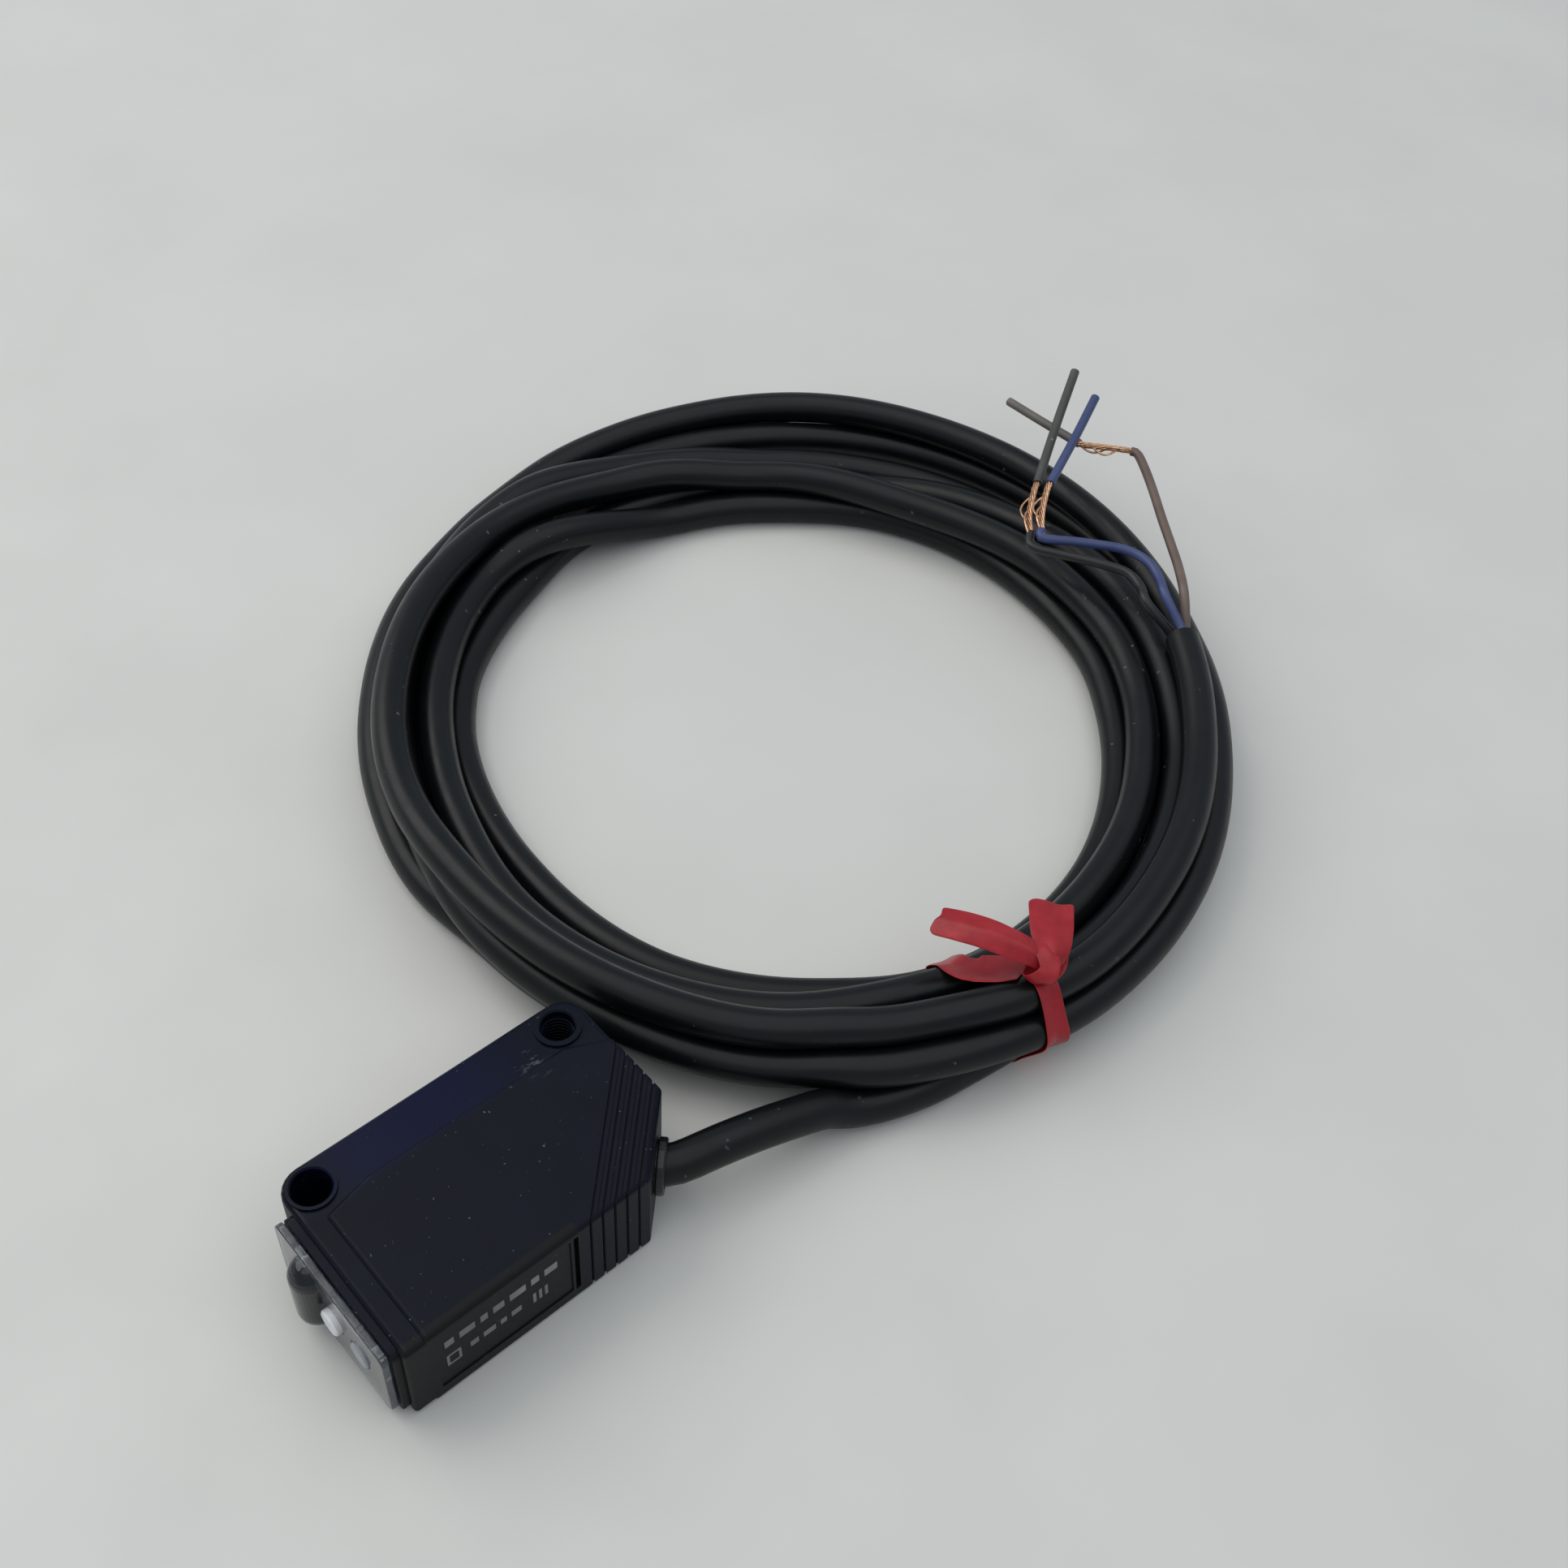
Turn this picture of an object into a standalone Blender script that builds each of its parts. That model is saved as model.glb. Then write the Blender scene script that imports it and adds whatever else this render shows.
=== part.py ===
"""Miniature photoelectric sensor with built-in amplifier, on its coiled cable.

The sensor lies on its flat side. In the case's own frame X runs from the lens face (0) to the back
(CASE_DEPTH), Y from the shoulder at the indicator end (0) to the bottom end (CASE_HEIGHT), and Z through the
thickness (0 to CASE_WIDTH). An empty, case_frame, carries that frame, and puts the middle of the sensor's
footprint on the world origin.
"""
import math

import bmesh
import bpy
from mathutils import Matrix, Vector

MM = 0.001
GAP = 0.15 * MM                 # between neighbours inside the sensor
CORD_GAP = 0.3 * MM             # between the pieces of the cord

# Case
CASE_DEPTH = 20.0 * MM
CASE_HEIGHT = 31.0 * MM
CASE_WIDTH = 11.2 * MM
MIDDLE = CASE_WIDTH / 2
WALL = 1.2 * MM
CHAMFER = 6.4 * MM              # legs of the 45 degree cable corner
CORNER_RADIUS = 2.5 * MM        # the two corners around the fixing holes
SMALL_RADIUS = 0.4 * MM         # every other corner of the outline
EDGE_ROUND = 0.55 * MM
BAND_STEP = 0.25 * MM           # the band round the lens side lies this far below the centre panel
UNION_STEP = 0.02 * MM          # keeps the panel's sides clear of the core's

# Fixing holes, 25.4 mm apart
HOLE_X = 2.6 * MM
HOLE_PITCH = 25.4 * MM
HOLE_A_Y = 2.5 * MM
HOLE_B_Y = HOLE_A_Y + HOLE_PITCH
HOLE_A_RADIUS = 1.75 * MM
HOLE_B_RADIUS = 1.55 * MM
BOSS_RADIUS = 2.75 * MM
COLLAR_RADIUS = 2.2 * MM

# Indicator end
RIM_HEIGHT = 0.7 * MM
COVER_FACE_Y = -1.5 * MM
COVER_THICKNESS = 0.7 * MM
DOME_X = 7.7 * MM
DOME_Y = -1.2 * MM
DOME_RADIUS = 1.9 * MM
DOME_STRAIGHT = 5.1 * MM
DOME_WALL = 0.55 * MM
SENSITIVITY_X = 11.2 * MM
MODE_X = 15.1 * MM
KNOB_RADIUS = 1.25 * MM
SENSITIVITY_FACE_Y = -2.1 * MM
MODE_FACE_Y = -1.75 * MM

# Lens side
WINDOW_LOW_Y = 5.5 * MM
WINDOW_HIGH_Y = 24.9 * MM
WINDOW_LOW_Z = 1.0 * MM
WINDOW_HIGH_Z = CASE_WIDTH - WINDOW_LOW_Z
LENS_Y = (10.35 * MM, 20.05 * MM)
LENS_RADIUS = 3.7 * MM

# Cable and coil
CABLE_DIAMETER = 3.8 * MM
LEAD_DIAMETER = 1.1 * MM
CORE_DIAMETER = 0.75 * MM
EXIT = Vector((CASE_DEPTH - CHAMFER / 2, CASE_HEIGHT - CHAMFER / 2, MIDDLE))
EXIT_WAY = Vector((1, 1, 0)).normalized()
COIL_CENTRE = Vector((-20.6, 77.6, 0)) * MM
COIL_OUTER_RADIUS = 49.2 * MM
COIL_INNER_RADIUS = 36.0 * MM
COIL_LOW = 0.5 * MM
COIL_HIGH = 10.5 * MM
TIE_ANGLE = math.radians(-13)
TIE_WIDTH = 5.6 * MM
TIE_THICKNESS = 0.2 * MM

FOOTPRINT_MIDDLE = Vector((CASE_DEPTH / 2, (DOME_Y - DOME_RADIUS + CASE_HEIGHT) / 2, 0))

# How a piece's own x, y and z lie in the case: on the indicator end, or behind the lens face
ON_TOP_END = Matrix(((1, 0, 0, 0), (0, 0, -1, 0), (0, 1, 0, 0), (0, 0, 0, 1)))
ON_LENS_SIDE = Matrix(((0, 0, 1, 0), (1, 0, 0, 0), (0, 1, 0, 0), (0, 0, 0, 1)))

ARC_STEPS = 6
ROUND_STEPS = 4


# ---------------------------------------------------------------- scene and materials

def clear_scene():
    for old in list(bpy.data.objects):
        bpy.data.objects.remove(old)


def plastic(name, color, roughness, metallic=0.0, transmission=0.0):
    """A Principled material."""
    made = bpy.data.materials.new(name)
    made.use_nodes = True
    shader = made.node_tree.nodes["Principled BSDF"]
    shader.inputs["Base Color"].default_value = (*color, 1)
    shader.inputs["Roughness"].default_value = roughness
    shader.inputs["Metallic"].default_value = metallic
    shader.inputs["Transmission Weight"].default_value = transmission
    made.diffuse_color = (*color, 1)
    return made


def make_materials():
    return {
        "case_plastic": plastic("case_plastic", (0.012, 0.014, 0.022), 0.45),
        "lens_window": plastic("lens_window", (0.16, 0.01, 0.012), 0.08, transmission=0.7),
        "clear_cover": plastic("clear_cover", (0.85, 0.87, 0.88), 0.05, transmission=0.95),
        "inner_black": plastic("inner_black", (0.02, 0.02, 0.02), 0.6),
        "circuit_board": plastic("circuit_board", (0.02, 0.14, 0.06), 0.4),
        "chip_black": plastic("chip_black", (0.03, 0.03, 0.032), 0.5),
        "led_clear": plastic("led_clear", (0.8, 0.8, 0.78), 0.1, transmission=0.6),
        "led_green": plastic("led_green", (0.1, 0.6, 0.15), 0.2),
        "led_orange": plastic("led_orange", (0.9, 0.3, 0.03), 0.2),
        "steel": plastic("steel", (0.6, 0.6, 0.58), 0.3, metallic=1.0),
        "knob_white": plastic("knob_white", (0.8, 0.8, 0.8), 0.35),
        "knob_clear": plastic("knob_clear", (0.75, 0.77, 0.78), 0.15, transmission=0.6),
        "adjuster_body": plastic("adjuster_body", (0.25, 0.3, 0.4), 0.4),
        "seal_rubber": plastic("seal_rubber", (0.03, 0.03, 0.03), 0.7),
        "flex_film": plastic("flex_film", (0.55, 0.25, 0.05), 0.4),
        "grommet_black": plastic("grommet_black", (0.01, 0.01, 0.012), 0.25),
        "cable_sheath": plastic("cable_sheath", (0.014, 0.016, 0.02), 0.42),
        "lead_brown": plastic("lead_brown", (0.075, 0.055, 0.045), 0.45),
        "lead_blue": plastic("lead_blue", (0.015, 0.03, 0.19), 0.45),
        "lead_black": plastic("lead_black", (0.03, 0.032, 0.032), 0.45),
        "copper": plastic("copper", (0.85, 0.42, 0.25), 0.3, metallic=1.0),
        "tie_red": plastic("tie_red", (0.42, 0.015, 0.03), 0.35),
    }


# ---------------------------------------------------------------- building blocks

def add_object(name, data, material, place=None):
    """Adds a mesh or curve as one object under the case's frame."""
    made = bpy.data.objects.new(name, data)
    bpy.context.scene.collection.objects.link(made)
    made.parent = FRAME
    if place is not None:
        made.matrix_local = place
    if material:
        data.materials.append(MATERIALS[material])
    return made


def mesh_object(name, mesh, material, place=None, smooth_angle=35):
    """Turns a bmesh into an object whose faces point out, shaded smooth except at sharp edges."""
    bmesh.ops.recalc_face_normals(mesh, faces=mesh.faces)
    data = bpy.data.meshes.new(name)
    mesh.to_mesh(data)
    mesh.free()
    data.shade_smooth()
    data.set_sharp_from_angle(angle=math.radians(smooth_angle))
    return add_object(name, data, material, place)


def outline(corners, inset=0.0):
    """Points of a counter-clockwise outline of (x, y, radius) corners, drawn in by inset."""
    points = []
    count = len(corners)
    for index in range(count):
        before, here, after = (Vector(corners[(index + step) % count][:2]) for step in (-1, 0, 1))
        way_in = (here - before).normalized()
        way_out = (after - here).normalized()
        turn = math.atan2(way_in.cross(way_out), way_in.dot(way_out))
        side = math.copysign(1, turn)
        corner = here + inset * (way_out - way_in) / math.sin(turn)
        radius = max(corners[index][2] - inset * side, 0.02 * MM)
        start = corner - way_in * radius * math.tan(abs(turn) / 2)
        centre = start + Vector((-way_in.y, way_in.x)) * radius * side
        for step in range(ARC_STEPS + 1):
            angle = turn * step / ARC_STEPS
            points.append(centre + Matrix.Rotation(angle, 2) @ (start - centre))
    return points


def slab_mesh(corners, low, high, rounding=0.0):
    """A plate with the outline of corners from z low to high, its rims rounded."""
    levels = [(low, 0.0), (high, 0.0)]
    if rounding:
        arc = [math.radians(90) * step / ROUND_STEPS for step in range(ROUND_STEPS + 1)]
        levels = [(low + rounding * (1 - math.sin(a)), rounding * (1 - math.cos(a))) for a in reversed(arc)]
        levels += [(high - rounding * (1 - math.sin(a)), rounding * (1 - math.cos(a))) for a in arc]
    mesh = bmesh.new()
    rings = [[mesh.verts.new((*point, z)) for point in outline(corners, inset)] for z, inset in levels]
    for below, above in zip(rings, rings[1:]):
        for index in range(len(below)):
            after = (index + 1) % len(below)
            mesh.faces.new((below[index], below[after], above[after], above[index]))
    mesh.faces.new(list(reversed(rings[0])))
    mesh.faces.new(rings[-1])
    return mesh


def rectangle(low_x, low_y, high_x, high_y, radius=0.3 * MM):
    return [(low_x, low_y, radius), (high_x, low_y, radius), (high_x, high_y, radius), (low_x, high_y, radius)]


def box(name, low, high, material, bevel=0.1 * MM):
    """A block between two corners given in millimetres, with small bevels."""
    low, high = Vector(low) * MM, Vector(high) * MM
    size = high - low
    mesh = bmesh.new()
    bmesh.ops.create_cube(mesh, size=1.0, matrix=Matrix.Diagonal((*size, 1)))
    if bevel:
        bmesh.ops.bevel(mesh, geom=mesh.edges[:], offset=bevel, segments=2, affect="EDGES", profile=0.5)
    return mesh_object(name, mesh, material, Matrix.Translation((low + high) / 2))


def turned_mesh(profile, steps=40, closed=False):
    """Turns (radius, height) points about the z axis. A closed profile makes a ring."""
    mesh = bmesh.new()
    rows = []
    for radius, height in profile:
        if radius == 0:
            rows.append([mesh.verts.new((0, 0, height))] * steps)
            continue
        angles = [2 * math.pi * step / steps for step in range(steps)]
        rows.append([mesh.verts.new((radius * math.cos(a), radius * math.sin(a), height)) for a in angles])
    pairs = list(zip(rows, rows[1:]))
    if closed:
        pairs.append((rows[-1], rows[0]))
    for one, two in pairs:
        for step in range(steps):
            after = (step + 1) % steps
            corners = [one[step], one[after], two[after], two[step]]
            mesh.faces.new(list(dict.fromkeys(corners)))
    return mesh


def turned(name, profile, material, place, steps=40, closed=False):
    scaled = [(radius * MM, height * MM) for radius, height in profile]
    return mesh_object(name, turned_mesh(scaled, steps, closed), material, place)


def drill(name, radius, low, high, place, steps=40, mouth=0.0):
    """A cutter for a round hole from z low to high, widened by mouth at both ends."""
    profile = [(0, low), (radius + mouth, low), (radius, low + mouth), (radius, high - mouth),
               (radius + mouth, high), (0, high)]
    if not mouth:
        profile = [(0, low), (radius, low), (radius, high), (0, high)]
    return mesh_object(name, turned_mesh(profile, steps), None, place)


def apply_shape(target, tool, operation):
    """Joins tool to target or cuts it away. The tool stays as a hidden guide."""
    change = target.modifiers.new(tool.name, "BOOLEAN")
    change.operation = operation
    change.solver = "EXACT"
    change.object = tool
    tool.hide_render = True
    tool.display_type = "WIRE"


def cut(target, *tools):
    for tool in tools:
        apply_shape(target, tool, "DIFFERENCE")


def join(target, *tools):
    for tool in tools:
        apply_shape(target, tool, "UNION")


def smooth_route(points, spacing):
    """Points at even spacing along a Catmull-Rom curve through the given ones."""
    points = [Vector(point) for point in points]
    padded = [2 * points[0] - points[1], *points, 2 * points[-1] - points[-2]]
    dense = []
    for a, b, c, d in zip(padded, padded[1:], padded[2:], padded[3:]):
        for step in range(24):
            t = step / 24
            dense.append(0.5 * (2 * b + (c - a) * t + (2 * a - 5 * b + 4 * c - d) * t ** 2
                                + (3 * b - a - 3 * c + d) * t ** 3))
    dense.append(points[-1])
    travelled = [0.0]
    for one, two in zip(dense, dense[1:]):
        travelled.append(travelled[-1] + (two - one).length)
    count = max(2, round(travelled[-1] / spacing))
    route, index = [], 0
    for step in range(count + 1):
        target = travelled[-1] * step / count
        while index < len(dense) - 2 and travelled[index + 1] < target:
            index += 1
        share = (target - travelled[index]) / (travelled[index + 1] - travelled[index])
        route.append(dense[index].lerp(dense[index + 1], min(1, share)))
    return route


def tube(name, points, diameter, material, spacing=2.2):
    """A round cord along points in millimetres, with closed ends. Spacing counts in diameters."""
    route = smooth_route([Vector(point) * MM for point in points], spacing * diameter)
    data = bpy.data.curves.new(name, "CURVE")
    data.dimensions = "3D"
    data.bevel_depth = diameter / 2
    data.bevel_resolution = 2
    data.use_fill_caps = True
    spline = data.splines.new("POLY")
    spline.points.add(len(route) - 1)
    for slot, point in zip(spline.points, route):
        slot.co = (*point, 1)
    return add_object(name, data, material)


def film(name, path, width_low, width_high, material, across):
    """A flat flexible link: a bent strip 0.2 mm thick whose path lies in a plane."""
    thickness = 0.2 * MM
    path = [Vector(point) * MM for point in path]
    mesh = bmesh.new()
    rows = []
    for index, here in enumerate(path):
        way = path[min(index + 1, len(path) - 1)] - path[max(index - 1, 0)]
        side = Vector((-way.y, way.x)).normalized() * thickness / 2
        row = []
        for offset, edge in ((side, width_low), (side, width_high), (-side, width_high), (-side, width_low)):
            at = here + offset
            along = edge * MM
            row.append(mesh.verts.new((at.x, along, at.y) if across == "Y" else (along, at.x, at.y)))
        rows.append(row)
    for one, two in zip(rows, rows[1:]):
        for index in range(4):
            after = (index + 1) % 4
            mesh.faces.new((one[index], one[after], two[after], two[index]))
    mesh.faces.new(rows[0])
    mesh.faces.new(rows[-1])
    return mesh_object(name, mesh, material)


# ---------------------------------------------------------------- case

def case_outline(grow=0.0):
    """The outline of the case: two round corners at the holes, and the cable corner."""
    far_x, far_y = CASE_DEPTH + grow, CASE_HEIGHT + grow
    return [
        (0, 0, CORNER_RADIUS),
        (far_x, 0, SMALL_RADIUS),
        (far_x, CASE_HEIGHT - CHAMFER, SMALL_RADIUS),
        (CASE_DEPTH - CHAMFER, far_y, SMALL_RADIUS),
        (0, far_y, CORNER_RADIUS),
    ]


def panel_outline():
    """The raised centre panel: it stops short of the lens side and of the indicator end."""
    return [
        (5.6 * MM, 1.9 * MM, SMALL_RADIUS),
        (CASE_DEPTH, 1.9 * MM, SMALL_RADIUS),
        (CASE_DEPTH, CASE_HEIGHT - CHAMFER, SMALL_RADIUS),
        (CASE_DEPTH - CHAMFER, CASE_HEIGHT, SMALL_RADIUS),
        (6.6 * MM, CASE_HEIGHT, SMALL_RADIUS),
        (4.7 * MM, 27.0 * MM, 1.0 * MM),
        (4.5 * MM, 6.6 * MM, 1.0 * MM),
    ]


def cavity_outline():
    """The space inside the walls, which goes round both bosses."""
    inner_x, inner_y = CASE_DEPTH - WALL, CASE_HEIGHT - WALL
    boss_x = HOLE_X + BOSS_RADIUS
    lean = WALL * (math.sqrt(2) - 1)
    return [
        (WALL, HOLE_A_Y + BOSS_RADIUS, 0.3 * MM),
        (boss_x, HOLE_A_Y + BOSS_RADIUS, 0.5 * MM),
        (boss_x, WALL, 0.3 * MM),
        (inner_x, WALL, 0.3 * MM),
        (inner_x, CASE_HEIGHT - CHAMFER - lean, 0.3 * MM),
        (CASE_DEPTH - CHAMFER - lean, inner_y, 0.3 * MM),
        (boss_x + 0.4 * MM, inner_y, 0.3 * MM),
        (boss_x, HOLE_B_Y - BOSS_RADIUS, 0.5 * MM),
        (WALL, HOLE_B_Y - BOSS_RADIUS, 0.3 * MM),
    ]


def grip_grooves():
    """Cutter for the grooves that run round the case parallel to the cable corner."""
    first, pitch, count = 18.3 * MM, 0.64 * MM, 10
    reach = 2 * MM
    mesh = bmesh.new()
    for number in range(count):
        back_y = first + pitch * number
        coarse = number % 2 == 0
        half = (0.10 if coarse else 0.05) * MM
        depth = (0.26 if coarse else 0.10) * MM
        back = Vector((CASE_DEPTH, back_y))
        end = Vector((CASE_DEPTH + back_y - CASE_HEIGHT, CASE_HEIGHT))
        way = (end - back).normalized()
        across = Vector((-way.y, way.x)) * half
        skin = depth * math.sqrt(2) if coarse else 0
        outer = ((back - way * reach, -reach), (end + way * reach, -reach),
                 (end + way * reach, CASE_WIDTH + reach), (back - way * reach, CASE_WIDTH + reach))
        inner_back = back + way * skin if coarse else back - way * (reach - 0.5 * MM)
        inner_end = end - way * skin if coarse else end + way * (reach - 0.5 * MM)
        inner = ((inner_back, depth), (inner_end, depth),
                 (inner_end, CASE_WIDTH - depth), (inner_back, CASE_WIDTH - depth))
        loops = [[mesh.verts.new((*(at + side), z)) for at, z in loop]
                 for side in (across, -across) for loop in (outer, inner)]
        near_out, near_in, far_out, far_in = loops
        for one, two in ((near_out, near_in), (near_in, far_in), (far_in, far_out), (far_out, near_out)):
            for index in range(4):
                after = (index + 1) % 4
                mesh.faces.new((one[index], one[after], two[after], two[index]))
    return mesh_object("grip_groove_cutter", mesh, None)


def make_main_case():
    """The moulded shell: core, raised panel and rim joined, then everything cut out of them."""
    core = slab_mesh(case_outline(-UNION_STEP), BAND_STEP, CASE_WIDTH - BAND_STEP, EDGE_ROUND)
    case = mesh_object("main_case", core, "case_plastic")
    panel = mesh_object("panel_tool", slab_mesh(panel_outline(), 0, CASE_WIDTH, EDGE_ROUND), None)
    rim_outline = rectangle(3.2 * MM, 0.65 * MM, 19.35 * MM, CASE_WIDTH - 0.65 * MM, 0.8 * MM)
    rim = mesh_object("rim_tool", slab_mesh(rim_outline, -1.0 * MM, RIM_HEIGHT, 0.12 * MM), None, ON_TOP_END)
    join(case, panel, rim)

    for name, y in (("collar_a_tool", HOLE_A_Y), ("collar_b_tool", HOLE_B_Y)):
        collar = [(0, 0), (COLLAR_RADIUS, 0), (COLLAR_RADIUS, CASE_WIDTH), (0, CASE_WIDTH)]
        place = Matrix.Translation((HOLE_X, y, 0))
        join(case, mesh_object(name, turned_mesh(collar), None, place))

    inside = slab_mesh(cavity_outline(), WALL, CASE_WIDTH - WALL)
    cut(case, mesh_object("cavity_cutter", inside, None))
    rest = rectangle(WINDOW_LOW_Y, WINDOW_LOW_Z, WINDOW_HIGH_Y, WINDOW_HIGH_Z, 0.5 * MM)
    cut(case, mesh_object("window_cutter", slab_mesh(rest, -1 * MM, 1.0 * MM), None, ON_LENS_SIDE))
    opening = rectangle(WINDOW_LOW_Y + 0.6 * MM, WALL + 0.5 * MM, WINDOW_HIGH_Y - 0.6 * MM,
                        CASE_WIDTH - WALL - 0.5 * MM)
    cut(case, mesh_object("lens_opening_cutter", slab_mesh(opening, 0.5 * MM, 2 * MM), None, ON_LENS_SIDE))
    mouth = rectangle(5.75 * MM, 1.9 * MM, 18.3 * MM, CASE_WIDTH - 1.9 * MM)
    cut(case, mesh_object("top_mouth_cutter", slab_mesh(mouth, -2 * MM, 2 * MM), None, ON_TOP_END))

    for name, y, radius in (("hole_a_cutter", HOLE_A_Y, HOLE_A_RADIUS), ("hole_b_cutter", HOLE_B_Y, HOLE_B_RADIUS)):
        place = Matrix.Translation((HOLE_X, y, 0))
        cut(case, drill(name, radius, -0.1 * MM, CASE_WIDTH + 0.1 * MM, place, mouth=0.25 * MM))
    cut(case, drill("cable_hole_cutter", 2.4 * MM, -2.5 * MM, 1 * MM, exit_place()))

    cut(case, grip_grooves())
    label = rectangle(2.8 * MM, 1.7 * MM, 16.2 * MM, 10.2 * MM, 0.2 * MM)
    label_place = Matrix.Translation((CASE_DEPTH - 0.12 * MM, 0, 0)) @ ON_LENS_SIDE
    cut(case, mesh_object("label_cutter", slab_mesh(label, 0, 1 * MM), None, label_place))
    slot = rectangle(16.5 * MM, 1.6 * MM, 17.0 * MM, 10.3 * MM, 0.15 * MM)
    slot_place = Matrix.Translation((CASE_DEPTH - 0.6 * MM, 0, 0)) @ ON_LENS_SIDE
    cut(case, mesh_object("slot_cutter", slab_mesh(slot, 0, 1 * MM), None, slot_place))
    return case


def exit_place(along=0.0):
    """The place of a round piece on the cable exit's axis, its own z pointing out of the case."""
    turn = Vector((0, 0, 1)).rotation_difference(EXIT_WAY).to_matrix().to_4x4()
    return Matrix.Translation(EXIT + EXIT_WAY * along) @ turn


# ---------------------------------------------------------------- lens side

def make_front_lens():
    """The window plate with two lenses that bulge inwards."""
    plate = rectangle(WINDOW_LOW_Y + GAP, WINDOW_LOW_Z + GAP, WINDOW_HIGH_Y - GAP, WINDOW_HIGH_Z - GAP, 0.4 * MM)
    window = mesh_object("front_lens", slab_mesh(plate, 0.1 * MM, 0.85 * MM, 0.12 * MM), "lens_window",
                         ON_LENS_SIDE)
    bulge = [(0, 0.5 * MM), (LENS_RADIUS, 0.5 * MM), (LENS_RADIUS, 0.9 * MM)]
    bulge += [(LENS_RADIUS * math.cos(math.radians(a)), (0.9 + 1.3 * math.sin(math.radians(a))) * MM)
              for a in range(15, 90, 15)]
    bulge.append((0, 2.2 * MM))
    for name, y in zip(("emitter_lens_tool", "receiver_lens_tool"), LENS_Y):
        place = Matrix.Translation((0, y, MIDDLE)) @ ON_LENS_SIDE
        join(window, mesh_object(name, turned_mesh(bulge), None, place))
    return window


def make_optics_frame():
    """The black holder behind the window. Two tapering channels keep the light paths apart."""
    body = rectangle(6.3 * MM, 1.85 * MM, 24.1 * MM, CASE_WIDTH - 1.85 * MM)
    frame = mesh_object("optics_frame", slab_mesh(body, 2.4 * MM, 9.6 * MM), "inner_black", ON_LENS_SIDE)
    for name, y in zip(("emitter_channel_cutter", "receiver_channel_cutter"), LENS_Y):
        channel = [(0, 2.0), (3.6, 2.0), (3.6, 2.9), (1.9, 8.0), (1.9, 10.2), (0, 10.2)]
        channel = [(radius * MM, height * MM) for radius, height in channel]
        place = Matrix.Translation((0, y, MIDDLE)) @ ON_LENS_SIDE
        cut(frame, mesh_object(name, turned_mesh(channel), None, place))
    return frame


def make_optics():
    """Light source, receiver, slit plate and their board behind the optics frame."""
    emitter_y, receiver_y = LENS_Y
    dome = [(0, 8.3), (0.35, 8.35), (0.7, 8.6), (0.9, 9.0), (0.9, 9.3), (1.5, 9.3), (1.5, 10.05), (0, 10.05)]
    turned("emitter_led", dome, "led_clear", Matrix.Translation((0, emitter_y, MIDDLE)) @ ON_LENS_SIDE, 24)
    middle, center = MIDDLE / MM, receiver_y / MM
    box("receiver_ic", (9.1, center - 1.2, middle - 1.2), (10.05, center + 1.2, middle + 1.2), "led_clear")
    plate = rectangle(receiver_y - 1.2 * MM, MIDDLE - 1.2 * MM, receiver_y + 1.2 * MM, MIDDLE + 1.2 * MM)
    slit = mesh_object("receiver_slit", slab_mesh(plate, 8.6 * MM, 8.9 * MM), "steel", ON_LENS_SIDE)
    hole = rectangle(receiver_y - 0.3 * MM, MIDDLE - 0.8 * MM, receiver_y + 0.3 * MM, MIDDLE + 0.8 * MM, 0.1 * MM)
    cut(slit, mesh_object("slit_cutter", slab_mesh(hole, 8 * MM, 9.5 * MM), None, ON_LENS_SIDE))
    box("optics_board", (10.2, 6.3, 1.6), (11.0, 24.1, 9.6), "circuit_board", 0)


# ---------------------------------------------------------------- electronics

def make_main_board():
    """The board along the lower wall, cut off at the cable corner, with what is soldered to it."""
    board = [
        (11.4 * MM, 4.6 * MM, 0.3 * MM),
        (18.5 * MM, 4.6 * MM, 0.3 * MM),
        (18.5 * MM, 22.4 * MM, 0.3 * MM),
        (13.4 * MM, 27.5 * MM, 0.3 * MM),
        (11.4 * MM, 27.5 * MM, 0.3 * MM),
    ]
    mesh_object("main_board", slab_mesh(board, 1.6 * MM, 2.4 * MM), "circuit_board")
    box("control_ic", (13.2, 6.2, 2.55), (17.8, 10.8, 3.6), "chip_black")
    box("filter_capacitor", (13.4, 11.5, 2.55), (16.9, 13.7, 4.4), "led_orange")
    box("output_transistor", (12.0, 24.0, 2.55), (13.6, 26.6, 3.7), "chip_black")
    shield = box("shield_can", (12.9, 14.4, 2.55), (18.1, 20.6, 4.6), "steel", 0.15 * MM)
    cut(shield, box("shield_inside_cutter", (13.1, 14.6, 1.5), (17.9, 20.4, 4.4), None, 0))


def quarter_bend(centre, radius, start_angle, end_angle, steps=5):
    """Points of an arc in millimetres, for the bend in a flexible link."""
    angles = [math.radians(start_angle + (end_angle - start_angle) * step / steps) for step in range(steps + 1)]
    return [(centre[0] + radius * math.cos(a), centre[1] + radius * math.sin(a)) for a in angles]


def make_links():
    """Flexible links: from the optics board and from the adjuster board down to the main board."""
    bend = quarter_bend((12.4, 3.9), 1.15, 180, 270)
    film("front_link", [(11.25, 8.6), *bend, (12.75, 2.75)], 7.0, 10.0, "flex_film", "Y")
    bend = quarter_bend((5.4, 3.9), 1.15, 180, 270)
    film("top_link", [(4.25, 8.6), *bend, (5.8, 2.75)], 13.8, 17.4, "flex_film", "X")


# ---------------------------------------------------------------- indicator end

def capsule_profile(radius, straight, steps=6):
    """Half outline of a rod with round ends, about its middle."""
    half = straight / 2
    arc = [math.radians(90) * step / steps for step in range(steps + 1)]
    low = [(radius * math.sin(a), -half - radius * math.cos(a)) for a in arc]
    high = [(radius * math.cos(a), half + radius * math.sin(a)) for a in arc]
    low[0] = (0, low[0][1])
    high[-1] = (0, high[-1][1])
    return low + high


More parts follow.
